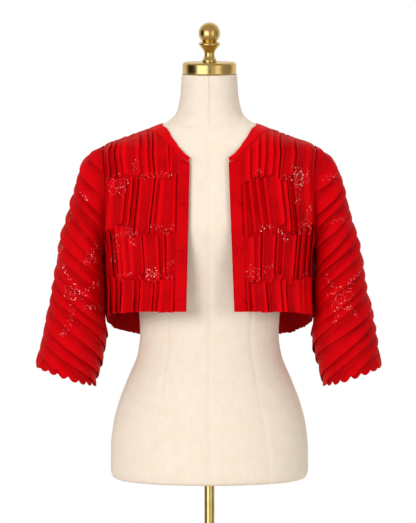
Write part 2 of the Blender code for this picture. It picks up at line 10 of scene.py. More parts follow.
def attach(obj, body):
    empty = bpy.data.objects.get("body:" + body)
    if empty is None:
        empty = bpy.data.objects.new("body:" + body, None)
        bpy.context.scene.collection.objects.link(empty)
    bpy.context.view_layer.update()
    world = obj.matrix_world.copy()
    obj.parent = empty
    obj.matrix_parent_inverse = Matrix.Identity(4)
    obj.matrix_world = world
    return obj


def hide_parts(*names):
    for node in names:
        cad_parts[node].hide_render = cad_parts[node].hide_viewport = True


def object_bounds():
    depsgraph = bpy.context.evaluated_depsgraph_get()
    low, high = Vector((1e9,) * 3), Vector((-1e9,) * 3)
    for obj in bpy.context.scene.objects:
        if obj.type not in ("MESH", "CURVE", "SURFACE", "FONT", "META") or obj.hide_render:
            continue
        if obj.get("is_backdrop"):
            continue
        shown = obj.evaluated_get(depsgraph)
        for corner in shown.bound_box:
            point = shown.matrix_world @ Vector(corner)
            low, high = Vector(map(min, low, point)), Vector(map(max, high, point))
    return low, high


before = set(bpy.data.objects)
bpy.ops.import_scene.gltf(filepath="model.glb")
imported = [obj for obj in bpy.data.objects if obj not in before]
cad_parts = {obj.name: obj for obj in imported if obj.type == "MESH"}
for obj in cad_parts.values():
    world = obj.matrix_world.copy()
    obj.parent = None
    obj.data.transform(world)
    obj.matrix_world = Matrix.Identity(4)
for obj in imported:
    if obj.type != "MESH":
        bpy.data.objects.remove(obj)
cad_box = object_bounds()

# Studio: a long lens in front of the form, a little above its middle, in a white room. Large soft
# lamps stand left, right, above and behind. Polished metal sees tall soft boxes with dark gaps
# between them in place of the lamps, and cloth is lit by the lamps and the pale walls.
TARGET = Vector((-0.0025, 0, 0.944))
CAMERA_DISTANCE = 10
CAMERA_RISE = math.radians(5)
LENS = 391

scene = bpy.context.scene
scene.view_settings.view_transform = "Standard"
camera_data = bpy.data.cameras.new("camera")
camera_data.sensor_fit = "VERTICAL"
camera_data.sensor_height = 36
camera_data.lens = LENS
camera = bpy.data.objects.new("camera", camera_data)
away = Vector((0, -math.cos(CAMERA_RISE), math.sin(CAMERA_RISE)))
camera.location = TARGET + away * CAMERA_DISTANCE
camera.rotation_euler = away.to_track_quat("Z", "Y").to_euler()
scene.collection.objects.link(camera)
scene.camera = camera


def linear(hex_colour):
    """An sRGB hex colour as linear red, green, blue and alpha."""
    shares = [int(hex_colour[i:i + 2], 16) / 255 for i in (1, 3, 5)]
    return [s / 12.92 if s <= 0.04045 else ((s + 0.055) / 1.055) ** 2.4 for s in shares] + [1]


def fill_in(tree, node, settings, links):
    """Gives a node its settings and sockets' values, and joins sockets or nodes to its inputs."""
    for name, value in settings.items():
        if isinstance(name, int) or name in node.inputs:
            node.inputs[name].default_value = value
        else:
            setattr(node, name, value)
    for name, source in links.items():
        if isinstance(source, bpy.types.Node):
            source = source.outputs[0]
        tree.links.new(source, node.inputs[name])
    return node


def add_node(tree, kind, settings={}, links={}):
    """Adds a node with its settings and links."""
    return fill_in(tree, tree.nodes.new(kind), settings, links)


def colour_stops(ramp, stops):
    """Sets a colour ramp's stops, each a place and a hex colour."""
    while len(ramp.elements) < len(stops):
        ramp.elements.new(1)
    for element, (place, colour) in zip(ramp.elements, stops):
        element.position = place
        element.color = linear(colour)


world = bpy.data.worlds.new("white_room")
world.use_nodes = True
scene.world = world
room = world.node_tree
room.nodes.clear()
white = add_node(room, "ShaderNodeBackground", {"Color": (1, 1, 1, 1), "Strength": 1})
dim_walls = add_node(room, "ShaderNodeBackground", {"Color": linear("#FFFAF4"), "Strength": 0.5})
direction = add_node(room, "ShaderNodeTexCoord").outputs["Generated"]
x_part, y_part, z_part = add_node(room, "ShaderNodeSeparateXYZ", {}, {"Vector": direction}).outputs
side_share = add_node(room, "ShaderNodeMapRange", {"From Min": -1, "From Max": 1}, {"Value": x_part})
soft_boxes = add_node(room, "ShaderNodeValToRGB", {}, {"Fac": side_share})
colour_stops(soft_boxes.color_ramp, [
    (0, "#1E1A16"), (0.07, "#2A2520"), (0.12, "#FFFFFF"), (0.42, "#FFFFFF"), (0.46, "#39332B"),
    (0.53, "#39332B"), (0.57, "#A8A298"), (0.68, "#8E887E"), (0.74, "#D6D0C6"), (0.84, "#D6D0C6"),
    (0.9, "#7A7368"), (1, "#6E675E"),
])
faded = {"From Min": 0.25, "From Max": 0.5}
steepness = add_node(room, "ShaderNodeMath", {"operation": "ABSOLUTE"}, {0: z_part})
above_boxes = add_node(room, "ShaderNodeMapRange", faded, {"Value": steepness})
ceiling = add_node(room, "ShaderNodeMix", {"data_type": "RGBA", 7: linear("#857A68")},
                   {"Factor": above_boxes, 6: soft_boxes})
behind_form = add_node(room, "ShaderNodeMapRange", faded, {"Value": y_part})
walls = add_node(room, "ShaderNodeMix", {"data_type": "RGBA", 7: linear("#B0AA9E")},
                 {"Factor": behind_form, 6: ceiling.outputs[2]})
studio = add_node(room, "ShaderNodeBackground", {"Strength": 2.0}, {"Color": walls.outputs[2]})
ray = add_node(room, "ShaderNodeLightPath").outputs
around = add_node(room, "ShaderNodeMixShader", {}, {"Fac": ray["Is Glossy Ray"], 1: dim_walls, 2: studio})
backdrop = add_node(room, "ShaderNodeMixShader", {}, {"Fac": ray["Is Camera Ray"], 1: around, 2: white})
add_node(room, "ShaderNodeOutputWorld", {}, {"Surface": backdrop})

LAMPS = (
    ("key_lamp", (-1.9, -3.1, 2.0), 2.0, 94),
    ("fill_lamp", (2.6, -2.7, 1.4), 1.8, 40),
    ("top_lamp", (0.3, 0.2, 3.4), 1.6, 22),
    ("back_lamp", (0.6, 3.6, 2.0), 2.4, 70),
)
for lamp_name, place, size, watts in LAMPS:
    lamp_data = bpy.data.lights.new(lamp_name, "AREA")
    lamp_data.shape = "DISK"
    lamp_data.size = size
    lamp_data.energy = watts
    lamp = bpy.data.objects.new(lamp_name, lamp_data)
    lamp.location = place
    lamp.rotation_euler = (Vector(place) - Vector((0, 0, 1))).to_track_quat("Z", "Y").to_euler()
    lamp.visible_glossy = False
    scene.collection.objects.link(lamp)


def new_material(name):
    """A material, its node tree to build on, and its shader."""
    material = bpy.data.materials.new(name)
    material.use_nodes = True
    return material, material.node_tree, material.node_tree.nodes["Principled BSDF"]


def add_piece(name, bm, material, sharp=None):
    """Puts a finished shape in the scene, smooth but for edges sharper than an angle in degrees."""
    mesh = bpy.data.meshes.new(name)
    bm.to_mesh(mesh)
    bm.free()
    mesh.materials.append(material)
    if sharp:
        mesh.shade_smooth()
        mesh.set_sharp_from_angle(angle=math.radians(sharp))
    piece = bpy.data.objects.new(name, mesh)
    scene.collection.objects.link(piece)
    return piece


# Floor: a wide disc of smooth pale board.
board, tree, shader = new_material("matt_painted_board")
fill_in(tree, shader, {"Base Color": linear("#EEECE8"), "Roughness": 0.9}, {})
bm = bmesh.new()
bmesh.ops.create_circle(bm, cap_ends=True, segments=96, radius=2)
floor = add_piece("floor", bm, board)
floor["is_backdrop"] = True
floor.visible_glossy = False

# Stand: a weighted round base, spun from sheet brass over an iron disc, and a drawn brass tube
# that stands in its socket and carries the form. The base stands on its flat underside.
MM = 0.001
BASE_PROFILE = (
    (0, 20), (17, 20), (19.4, 18.6), (20, 17), (20.6, 15), (22, 13.9), (40, 13.2), (90, 12), (130, 10.4),
    (158, 8.4), (162.5, 7), (164.6, 4.6), (165, 2), (165, 0.6), (164.2, 0), (0, 0),
)
POLE_PROFILE = (
    (0, 559.7), (8.6, 559.7), (9, 559.3), (9, 558.5), (9, 21.5), (9, 20.7), (8.6, 20.3), (0, 20.3),
)
BRASS_LIGHT = "#E4CC8C"
BRASS_DARK = "#D2B46E"

# Polished brass, drawn or spun and then lacquered: a warm metal whose fine turning lines run
# round it, with slightly darker spots where the lacquer is thin.
polished_brass, tree, shader = new_material("polished_lacquered_brass")
place = add_node(tree, "ShaderNodeTexCoord").outputs["Object"]
turning = add_node(tree, "ShaderNodeMapping", {"Scale": (12, 12, 900)}, {"Vector": place})
lines = add_node(tree, "ShaderNodeTexNoise", {"Scale": 1, "Detail": 3}, {"Vector": turning})
spots = add_node(tree, "ShaderNodeTexNoise", {"Scale": 55, "Detail": 4}, {"Vector": place})
tone = add_node(tree, "ShaderNodeValToRGB", {}, {"Fac": spots})
colour_stops(tone.color_ramp, [(0.2, BRASS_DARK), (0.8, BRASS_LIGHT)])
gloss = add_node(tree, "ShaderNodeMapRange", {"To Min": 0.16, "To Max": 0.3}, {"Value": lines})
relief = add_node(tree, "ShaderNodeBump", {"Strength": 0.06, "Distance": 0.0003}, {"Height": lines})
fill_in(tree, shader, {"Metallic": 1}, {"Base Color": tone, "Roughness": gloss, "Normal": relief})


def spun(profile, steps):
    """A shape spun about the upright axis from a profile of radii and heights in millimetres."""
    bm = bmesh.new()
    points = [bm.verts.new((radius, 0, height)) for radius, height in profile]
    edges = [bm.edges.new(pair) for pair in zip(points, points[1:])]
    bmesh.ops.spin(bm, geom=points + edges, cent=(0, 0, 0), axis=(0, 0, 1), angle=2 * math.pi,
                   steps=steps, use_merge=True)
    bmesh.ops.remove_doubles(bm, verts=bm.verts, dist=0.001)
    return bm


def fit_on_part(piece, node=None):
    """Fixes a piece to the part and puts it in place of its plain solid."""
    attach(piece, "root")
    if node:
        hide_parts(node)


def turned(name, profile, steps, node):
    """A brass piece turned about the form's middle line from its profile."""
    bm = spun(profile, steps)
    bmesh.ops.scale(bm, vec=(MM, MM, MM), verts=bm.verts)
    bmesh.ops.recalc_face_normals(bm, faces=bm.faces)
    fit_on_part(add_piece(name, bm, polished_brass, 50), node)


turned("round_base", BASE_PROFILE, 128, "stand_base")
turned("brass_pole", POLE_PROFILE, 64, "stand_pole")

# Dress form: a padded limbless torso under a tight cover of undyed linen, cut in panels and
# sewn with a seam at the centre front and back, at the sides, down over the bust and back, and
# round the foot of the neck. The seams lie in shallow grooves.
FORM_COLUMNS = ("height", "half_width", "front_depth", "back_depth")
FORM_SECTIONS = (
    (560, 163, 111, 113), (563, 170, 117, 119), (576, 174, 120, 122), (611, 174, 121, 123),
    (654, 170, 120, 120), (696, 159.5, 116, 113), (738, 143.5, 108, 102), (781, 126.5, 97, 90),
    (814, 122, 92, 86), (859, 124.5, 93, 88), (903, 131, 99, 92), (947, 141, 110, 97),
    (982, 150, 122, 102), (1014, 157, 128, 107), (1044, 160, 122, 110), (1071, 163, 114, 110),
    (1097, 167, 106, 108), (1124, 172, 98, 103), (1141, 175, 94, 96.5), (1151, 169.5, 91, 94.5),
    (1161, 146, 84.5, 87.5), (1171, 117.8, 77, 80.5), (1176, 105.3, 73, 77), (1182, 90.4, 69, 73),
    (1187, 79.6, 65, 70), (1194, 69, 61, 66), (1201, 61, 58, 63), (1212, 56, 55, 58),
    (1226, 52.5, 53, 53), (1247, 50, 51, 48), (1274, 48.5, 50, 46),
)
FORM_POWER = 2.05
BUST_SEAM = (
    (560, 37.3), (655, 34.2), (708, 33.3), (761, 35.7), (859, 35.9), (947, 38.1), (1014, 36.7),
    (1097, 31.2), (1151, 30), (1176, 38), (1212, 45), (1274, 45),
)
BUST_SEAM_TOP = 1165
BACK_SEAM_TURN = 142
NECK_SEAM_HEIGHT = 1208
NECK_SEAM_DROP = 26
SEAMS_ROUND = 8
PANEL_STEPS = 12
RING_SPACING = 6
GROOVE_DEPTH = 0.45
CENTRE_GROOVE_DEPTH = 1.1
GROOVE_TURN = 0.013
GROOVE_RISE = 1.5

# Plain-woven linen: threads about 0.7 mm apart, drawn twice as coarse so that the render shows
# them, with a few thick threads each way and a matt surface.
THREADS = {"Scale": 215, "Distortion": 1.2}
linen, tree, shader = new_material("plain_woven_linen")
place = add_node(tree, "ShaderNodeTexCoord").outputs["Object"]
across = add_node(tree, "ShaderNodeTexWave", {"bands_direction": "X", **THREADS}, {"Vector": place})
down = add_node(tree, "ShaderNodeTexWave", {"bands_direction": "Z", **THREADS}, {"Vector": place})
weave = add_node(tree, "ShaderNodeMath", {"operation": "ADD"},
                 {0: across.outputs["Fac"], 1: down.outputs["Fac"]})
thick_down = add_node(tree, "ShaderNodeMapping", {"Scale": (420, 420, 14)}, {"Vector": place})
slubs = add_node(tree, "ShaderNodeTexNoise", {"Scale": 1, "Detail": 2}, {"Vector": thick_down})
tone = add_node(tree, "ShaderNodeMix", {"data_type": "RGBA", 6: linear("#DDD3C6"), 7: linear("#E5DCD0")},
                {"Factor": slubs})
uneven = add_node(tree, "ShaderNodeTexNoise", {"Scale": 60, "Detail": 2}, {"Vector": place})
patch = add_node(tree, "ShaderNodeMix", {
    "data_type": "RGBA", "blend_type": "MULTIPLY", 7: linear("#F8F1E8"),
}, {"Factor": uneven, 6: tone.outputs[2]})
relief = add_node(tree, "ShaderNodeBump", {"Strength": 0.25, "Distance": 0.0004}, {"Height": weave})
fill_in(tree, shader, {"Roughness": 0.9, "Specular IOR Level": 0.08},
        {"Base Color": patch.outputs[2], "Normal": relief})


def smooth_curve(keys, values):
    """A curve through the rows of a table that never overshoots them."""
    keys = np.asarray(keys, float)
    values = np.asarray(values, float)
    steps = np.diff(keys)
    slopes = np.diff(values) / steps
    tangents = np.zeros(len(keys))
    tangents[0] = slopes[0]
    tangents[-1] = slopes[-1]
    for i in range(1, len(keys) - 1):
        before, after = slopes[i - 1], slopes[i]
        if before * after > 0:
            tangents[i] = 2 * before * after / (before + after)

    def value(key):
        key = np.clip(key, keys[0], keys[-1])
        i = np.clip(np.searchsorted(keys, key, side="right") - 1, 0, len(keys) - 2)
        t = (key - keys[i]) / steps[i]
        start = (1 + 2 * t) * (1 - t) ** 2 * values[i] + t * (1 - t) ** 2 * steps[i] * tangents[i]
        end = t * t * (3 - 2 * t) * values[i + 1] + t * t * (t - 1) * steps[i] * tangents[i + 1]
        return start + end

    return value


def table_curves(columns, rows):
    """One smooth curve for each column, all read by the first one."""
    keys = [row[0] for row in rows]
    return {name: smooth_curve(keys, [row[i] for row in rows]) for i, name in enumerate(columns)}


def rounded(share, power):
    """A sine or cosine as a share of a squarish oval's size."""
    return np.sign(share) * np.abs(share) ** (2 / power)


def vertex_places(bm):
    return np.array([vert.co for vert in bm.verts])


def place_and_close(name, bm, places, material):
    """Moves a closed shape's vertices to their places in millimetres, faces it outwards and adds it."""
    for vert, point in zip(bm.verts, places * MM):
        vert.co = point
    bmesh.ops.remove_doubles(bm, verts=bm.verts, dist=1e-6)
    if bm.calc_volume(signed=True) < 0:
        bmesh.ops.reverse_faces(bm, faces=bm.faces)
    return add_piece(name, bm, material, 75)


FORM = table_curves(FORM_COLUMNS, FORM_SECTIONS)
bust_seam = smooth_curve(*zip(*BUST_SEAM))


def seam_turns(z):
    """The turns of the cover's seams from the centre front at a height, once round it."""
    half = [0 * z, np.radians(bust_seam(z)), 0 * z + math.pi / 2, 0 * z + math.radians(BACK_SEAM_TURN)]
    return np.array(half + [0 * z + math.pi] + [2 * math.pi - turn for turn in reversed(half)])


neck_seam_rings = NECK_SEAM_HEIGHT + GROOVE_RISE * np.array((-1, 0, 1))
levels = np.sort(np.r_[560:577:2, 580:1274:RING_SPACING, 1274, neck_seam_rings])
steps_round = SEAMS_ROUND * PANEL_STEPS
bm = bmesh.new()
bmesh.ops.create_cone(bm, cap_ends=True, segments=steps_round, radius1=1, radius2=1, depth=1)
upright = [edge for edge in bm.edges if abs(edge.verts[0].co.z - edge.verts[1].co.z) > 0.5]
bmesh.ops.subdivide_edges(bm, edges=upright, cuts=len(levels) - 2, use_grid_fill=True)
x, y, z = vertex_places(bm).T
level = levels[np.rint((z + 0.5) * (len(levels) - 1)).astype(int)]
step = np.rint(np.arctan2(y, x) * steps_round / (2 * math.pi)).astype(int) % steps_round
panel, within = np.divmod(step, PANEL_STEPS)
seams = seam_turns(level)
first = np.take_along_axis(seams, panel[None], axis=0)[0]
last = np.take_along_axis(seams, panel[None] + 1, axis=0)[0]
share = (within - 1) / (PANEL_STEPS - 2)
turn = first + GROOVE_TURN + (last - first - 2 * GROOVE_TURN) * share
turn = np.where(within == 0, first, turn)
near_neck = np.exp(-((level - NECK_SEAM_HEIGHT) / NECK_SEAM_DROP) ** 2)
z = level - NECK_SEAM_DROP * np.clip(np.cos(turn), 0, 1) ** 1.2 * near_neck
depth = np.where(panel % 4 == 0, CENTRE_GROOVE_DEPTH, GROOVE_DEPTH) * (within == 0)
depth = np.where((panel % 2 == 1) & (level > BUST_SEAM_TOP), 0, depth)
depth = np.maximum(depth, np.where(level == NECK_SEAM_HEIGHT, CENTRE_GROOVE_DEPTH, 0))
half_depth = np.where(np.cos(turn) > 0, FORM["front_depth"](z), FORM["back_depth"](z)) - depth
x = (FORM["half_width"](z) - depth) * rounded(np.sin(turn), FORM_POWER)
y = -half_depth * rounded(np.cos(turn), FORM_POWER)
form = place_and_close("linen_form", bm, np.stack([x, y, z], axis=-1), linen)
fit_on_part(form, "form_torso")

# Cap and finial: a pressed brass cap closes the neck, and a turned brass ball finial with a
# collar and a waist is screwed on top of it.
CAP_PROFILE = (
    (0, 1295.4), (41, 1295.4), (43.6, 1295.2), (45.6, 1294.4), (46.8, 1292.8), (47.3, 1291), (47.3, 1277.5),
    (47.1, 1275.8), (46.5, 1274.8), (45.6, 1274.3), (0, 1274.3),
)
BALL_RADIUS = 18.9
BALL_MIDDLE = 1346.1
BALL_FOOT_ANGLE = 138
BALL_STEPS = 26
COLLAR_PROFILE = (
    (13, 1331.6), (14.4, 1330.8), (17.2, 1329.6), (18.6, 1328.4), (18.9, 1327), (18.5, 1325.4), (17, 1323.4),
    (14.4, 1320.6), (12, 1317.8), (10.2, 1315), (9.1, 1312), (8.8, 1309.4), (9, 1306.4), (9.8, 1303.6),
    (11.2, 1301), (12.5, 1299.2), (12.9, 1297.6), (12.6, 1295.7), (0, 1295.7),
)
angles = np.radians(np.linspace(0, BALL_FOOT_ANGLE, BALL_STEPS + 1))
ball = zip(BALL_RADIUS * np.sin(angles), BALL_MIDDLE + BALL_RADIUS * np.cos(angles))
turned("neck_cap_brass", CAP_PROFILE, 96, "neck_cap")
turned("ball_finial", (*ball, *COLLAR_PROFILE), 64, "neck_finial")

# Jacket fronts and back: soft crepe-backed satin, lined. Each panel is folded into upright tucks
# that are pressed to one side, turned over where they are caught down in rows, and pressed to
# the other side below, so that every tier lies the other way. The hem is open and hangs.
WALL = 1.5
SEAM_GAP = 0.3
JACKET_COLUMNS = ("height", "half_width", "front_depth", "back_depth", "power")
JACKET_SECTIONS = (
    (790, 178, 137, 120, 2.6), (843, 178, 137, 120, 2.6), (911, 180, 136, 119, 2.6),
    (966, 182.5, 135, 118, 2.6), (1014, 187, 133, 117, 2.6), (1044, 188.5, 127, 116, 2.6),
    (1071, 189.5, 119, 115, 2.6), (1097, 190, 111, 112, 2.6), (1124, 189.5, 103, 107, 2.5),
    (1141, 187, 99, 102, 2.35), (1147, 183, 97.5, 101, 2.25), (1151, 178.2, 95.5, 99, 2.2),
    (1161, 149.6, 88, 91.5, 2.13), (1171, 121.2, 80.5, 84, 2.12), (1176, 108.5, 76.5, 80.5, 2.12),
    (1182, 93, 72, 76, 2.12), (1187, 81.7, 68, 73, 2.12), (1194, 71.3, 64, 69.5, 2.12),
)
SHOULDER_HEIGHTS = (1194, 1141)
NECK_COLUMNS = ("angle", "height", "band_width")
NECKLINE = (
    (0, 1125, 7.5), (7.3, 1135, 8), (14, 1149, 9.5), (20, 1158.5, 11.5), (29, 1168, 14.5), (40, 1176.5, 17.5),
    (55, 1182.5, 21), (90, 1186.5, 26), (110, 1185, 26), (130, 1181, 25), (150, 1174.5, 24), (180, 1169, 24),
)
EDGE_TOP_HEIGHT = 1135
EDGE_HEM_HEIGHT = 868
EDGES = {"right": (34, 40), "left": (33, 43)}
FRONT_BAND_WIDTH = 22
HEM_SIDE_HEIGHT = 843
HEM_SLOPE = -0.29
HEM_CURVE = -0.00078
ARMHOLE_MIDDLE = 1056.5
ARMHOLE_HALF_HEIGHT = 90.5
ARMHOLE_HALF_WIDTH = 52
ARMHOLE_BOTTOM = ARMHOLE_MIDDLE - ARMHOLE_HALF_HEIGHT
SIDE_WIDENING = 10
TUCKS = 10
SIDE_TUCKS = 3
SPREAD = 0.15
CAUGHT_ROWS = (1102, 1008, 923)
YOKE_LEVELS = 74
SKIRT_LEVELS = 80
ROWS = 112
FRONT_TUCK_WIDTH = 13.1
BACK_TUCK_WIDTH = 18
TUCK_STAND = 5.5
FOLD_MARGIN = 0.06
DRIFT = (0, -0.35, 0.3, -0.25, 0)
# Painted shade: the inside of the cloth and the bottom of the folds are painted in dark tones. The cloth gets
# its lightest painted tone where it stands this far out.
LINING_SHADE_TONE = 0.35
FOLD_SHADE_TONE = 0.33
FULL_LIFT = 4.2
BACK_SCALLOP_DEPTH = 3.4
UNDER_ARM_X = 171
UNDER_ARM_TOP = 985
UNDER_ARM_SWELL = 6.4
UNDER_ARM_SWELL_Y = 30
UNDER_ARM_SWELL_FOOT = 832

# Crepe-backed satin in clear red, worn matt side out: a low soft gloss, a fine upright grain
# about 0.4 mm apart drawn four times as coarse, and painted shade: the colour is painted darker
# in the folds. How far a point stands out of the folds is kept in an attribute that carries this painted
# shading.
# The lit, middle and shaded reds of the painted shading.
CLOTH_LIGHT = "#CC020A"
CLOTH_MIDDLE = "#BA0109"
CLOTH_SHADED = "#8E0006"
red_satin, tree, shader = new_material("crepe_backed_satin")
place = add_node(tree, "ShaderNodeTexCoord").outputs["Object"]
grain_space = add_node(tree, "ShaderNodeMapping", {"Scale": (620, 620, 90)}, {"Vector": place})
grain = add_node(tree, "ShaderNodeTexNoise", {"Scale": 1, "Detail": 2}, {"Vector": grain_space})
cloud = add_node(tree, "ShaderNodeTexNoise", {"Scale": 26, "Detail": 4}, {"Vector": place})
clouded = add_node(tree, "ShaderNodeMapRange", {"To Min": -0.46, "To Max": 0.4}, {"Value": cloud})
# The painted shading picks the satin's red, from the shaded red in the folds to the lit red where the cloth
# stands out. A random cloud of tone is added to it.
painted_shading = add_node(tree, "ShaderNodeAttribute", {"attribute_name": "painted_shading"}).outputs["Fac"]
shade = add_node(tree, "ShaderNodeMath", {"operation": "ADD"}, {0: painted_shading, 1: clouded})
tone = add_node(tree, "ShaderNodeValToRGB", {}, {"Fac": shade})
colour_stops(tone.color_ramp, [(0, CLOTH_SHADED), (0.5, CLOTH_MIDDLE), (1, CLOTH_LIGHT)])
gloss = add_node(tree, "ShaderNodeMapRange", {"To Min": 0.5, "To Max": 0.66}, {"Value": grain})
creases = add_node(tree, "ShaderNodeTexNoise", {"Scale": 70, "Detail": 3}, {"Vector": place})
crumple = add_node(tree, "ShaderNodeBump", {"Strength": 0.45, "Distance": 0.0026}, {"Height": creases})
relief = add_node(tree, "ShaderNodeBump", {"Strength": 0.2, "Distance": 0.0003},
                  {"Height": grain, "Normal": crumple})
fill_in(tree, shader, {"Specular IOR Level": 0.045},
        {"Base Color": tone, "Roughness": gloss, "Normal": relief})

JACKET = table_curves(JACKET_COLUMNS, JACKET_SECTIONS)
NECK = table_curves(NECK_COLUMNS, NECKLINE)


def smooth_step(value):
    value = np.clip(value, 0, 1)
    return value * value * (3 - 2 * value)


def jacket_half_depth(z, back):
    return np.where(back, JACKET["back_depth"](z), JACKET["front_depth"](z))


def oval_rest(share, z):
    """The share of the jacket's oval left one way, at a share of it the other way."""
    power = JACKET["power"](z)
    return np.clip(1 - np.abs(share) ** power, 0, 1) ** (1 / power)


def jacket_depth(x, z, back):
    """The signed y of the jacket's inside at a width x and height z."""
    return np.where(back, 1, -1) * jacket_half_depth(z, back) * oval_rest(x / JACKET["half_width"](z), z)


def jacket_width(y, z, back):
    """The x of the jacket's inside, on its +X half, at a depth y and height z."""
    return JACKET["half_width"](z) * oval_rest(y / jacket_half_depth(z, back), z)


def jacket_level(point):
    """Below 1 inside the jacket's inner surface and above 1 outside it."""
    x, y, z = point[..., 0], point[..., 1], point[..., 2]
    power = JACKET["power"](z)
    across = (np.abs(x) / JACKET["half_width"](z)) ** power
    return across + (np.abs(y) / jacket_half_depth(z, y > 0)) ** power


def jacket_outward(point):
    """The direction that points out of the cloth, from the change of level around the point."""
    slope = np.stack([
        jacket_level(point + step) - jacket_level(point - step) for step in 0.05 * np.eye(3)
    ], axis=-1)
    return slope / np.linalg.norm(slope, axis=-1, keepdims=True)


def shoulder_height(x):
    """The height of the shoulder line at a width x."""
    heights = np.linspace(*SHOULDER_HEIGHTS, 400)
    return np.interp(np.abs(x), JACKET["half_width"](heights), heights)


def ring_point(angle, z):
    """A point of the jacket's inside at an angle round from the front centre towards +X."""
    power = JACKET["power"](z)
    x = JACKET["half_width"](z) * rounded(np.sin(angle), power)
    y = -jacket_half_depth(z, np.cos(angle) < 0) * rounded(np.cos(angle), power)
    return np.stack([x, y, z + 0 * x], axis=-1)


def neckband_point(angle, share):
    """A point of the neckband: share 0 is the neckline and 1 the band's outer edge."""
    half_turn = np.degrees(np.abs(angle))
    top = NECK["height"](half_turn)
    width = NECK["band_width"](half_turn) * share
    start = ring_point(angle, top)
    high, low = top, top - 40
    for _ in range(30):
        middle = (high + low) / 2
        far = np.linalg.norm(ring_point(angle, middle) - start, axis=-1) > width
        high = np.where(far, high, middle)
        low = np.where(far, middle, low)
    return ring_point(angle, (high + low) / 2)


def edge_width(side, z):
    """Distance of a front edge from the centre line."""
    top, hem = EDGES[side]
    return top + (hem - top) * (EDGE_TOP_HEIGHT - z) / (EDGE_TOP_HEIGHT - EDGE_HEM_HEIGHT)


def top_height(x, back):
    """Where a panel's top lies at a width x: under the neckband, or on the shoulder line."""
    outer = neckband_point(np.radians(np.linspace(0, 90, 60) + 90 * back), 1)
    outer = outer[np.argsort(outer[:, 0])]
    under_band = np.interp(np.abs(x) - SEAM_GAP, outer[:, 0], outer[:, 2]) - SEAM_GAP
    return np.where(np.abs(x) < outer[-1, 0] + SEAM_GAP, under_band, shoulder_height(x))


def hem_height(y):
    return HEM_SIDE_HEIGHT + HEM_SLOPE * y + HEM_CURVE * y * y


def armhole_depth(z):
    """Half the width of the side strip: the armhole's ellipse, then the strip below it."""
    rise = np.clip((z - ARMHOLE_MIDDLE) / ARMHOLE_HALF_HEIGHT, 0, 1)
    below = np.clip(ARMHOLE_BOTTOM - z, 0, None) / (ARMHOLE_BOTTOM - HEM_SIDE_HEIGHT)
    return ARMHOLE_HALF_WIDTH * np.sqrt(1 - rise ** 2) + SIDE_WIDENING * below


def column_place(tuck, z, start, back):
    """Width and depth of a panel at a place counted in tucks from its start, and a height."""
    count = np.abs(tuck)
    strip = armhole_depth(z)
    tip = jacket_width(strip, np.minimum(z, ARMHOLE_MIDDLE + ARMHOLE_HALF_HEIGHT), back)
    share = np.clip(count / TUCKS, 0, 1)
    flat_x = start + (tip - start) * (share * (1 + SPREAD) - SPREAD * share * share)
    round_side = np.clip((count - TUCKS) / SIDE_TUCKS, 0, 1)
    strip_y = np.maximum(strip * (1 - round_side), SEAM_GAP * 0.7)
    on_front = count <= TUCKS
    x = np.where(on_front, flat_x, jacket_width(strip_y, z, back))
    y = np.where(on_front, jacket_depth(flat_x, z, back), strip_y if back else -strip_y)
    return np.where(tuck < 0, -x, x), y


def panel_heights(tuck, level, start, back):
    """The height of a panel's row at a place across it, between its own top and hem."""
    catch, lowest_catch = CAUGHT_ROWS[0], CAUGHT_ROWS[-1]
    fine = np.linspace(0, TUCKS + SIDE_TUCKS, 400)
    top = catch + 0 * fine
    for _ in range(6):
        top = top_height(column_place(fine, top, start(top), back)[0], back)
    side_level = HEM_SIDE_HEIGHT + 0 * fine
    hem = hem_height(column_place(fine, side_level, start(side_level), back)[1])
    round_side = np.clip((fine - TUCKS) / SIDE_TUCKS, 0, 1)
    curve_start = ARMHOLE_MIDDLE - ARMHOLE_HALF_HEIGHT * np.sqrt(1 - (1 - round_side) ** 2)
    squeeze = (curve_start - lowest_catch) / (ARMHOLE_MIDDLE - lowest_catch)
    top, hem, squeeze = (np.interp(np.abs(tuck), fine, values) for values in (top, hem, squeeze))
    in_yoke = catch + (top - catch) * (level - catch) / YOKE_LEVELS
    in_skirt = lowest_catch - (lowest_catch - hem) * (lowest_catch - level) / SKIRT_LEVELS
    between = lowest_catch + (level - lowest_catch) * squeeze
    return np.where(level > catch, in_yoke, np.where(level < lowest_catch, in_skirt, between))


# A tuck's section, sample by sample: whether it is cloth on its left, on its right or the flat
# cloth beside it (0), and how far out along the fold it lies, or how far from the stitching.
TUCK_SAMPLES = np.array((
    (0, -0.5), (0, -0.26), (0, -0.03), (-1, 0.15), (-1, 0.4), (-1, 0.7), (-1, 0.94), (-1, 1.0),
    (1, 0.94), (1, 0.7), (1, 0.4), (1, 0.15), (0, 0.03), (0, 0.26),
))
PRESSED_HEIGHT = 1.3
LEAST_HEIGHT = 0.12


def tuck_section(side, along, reach, lean, lift, stand, width):
    """Where a sample of a tuck lies: how far across in tucks, and how far out of the cloth in mm.

    reach is how far the fold lies to one side, lean -1 to 1 which side it is pressed to, lift how
    far its edge springs up, stand its height where it turns over, and width a tuck's in mm.
    """
    upright = np.sqrt(np.clip(1 - lean ** 2, 0, 1))
    pressed = PRESSED_HEIGHT * (1 - (1 - along) ** 5) + lift * along ** 1.4
    height = (1 - upright) * pressed + upright * stand * along
    half_thick = np.where(along >= 1, 0, 0.5 + 0.35 * np.sin(math.pi * along))
    across = reach * along + side * upright * half_thick / width
    out = np.maximum(height - side * lean * half_thick, LEAST_HEIGHT)
    return np.where(side == 0, along, across), np.where(side == 0, 0, out)


def mark_painted_shading(bm, shares):
    """Keeps on each vertex its tone of painted shading for the cloth's colour, lighter where it stands out of
    the folds.
    """
    layer = bm.verts.layers.float.new("painted_shading")
    for vert, share in zip(bm.verts, shares):
        vert[layer] = share


def grid_cells(bm, columns, rows):
    """The column and row of each vertex of a grid, and whether it is on the raised side."""
    x, y, z = vertex_places(bm).T
    return np.rint((x + 0.5) * columns).astype(int), np.rint((0.5 - y) * rows).astype(int), z > 0.5


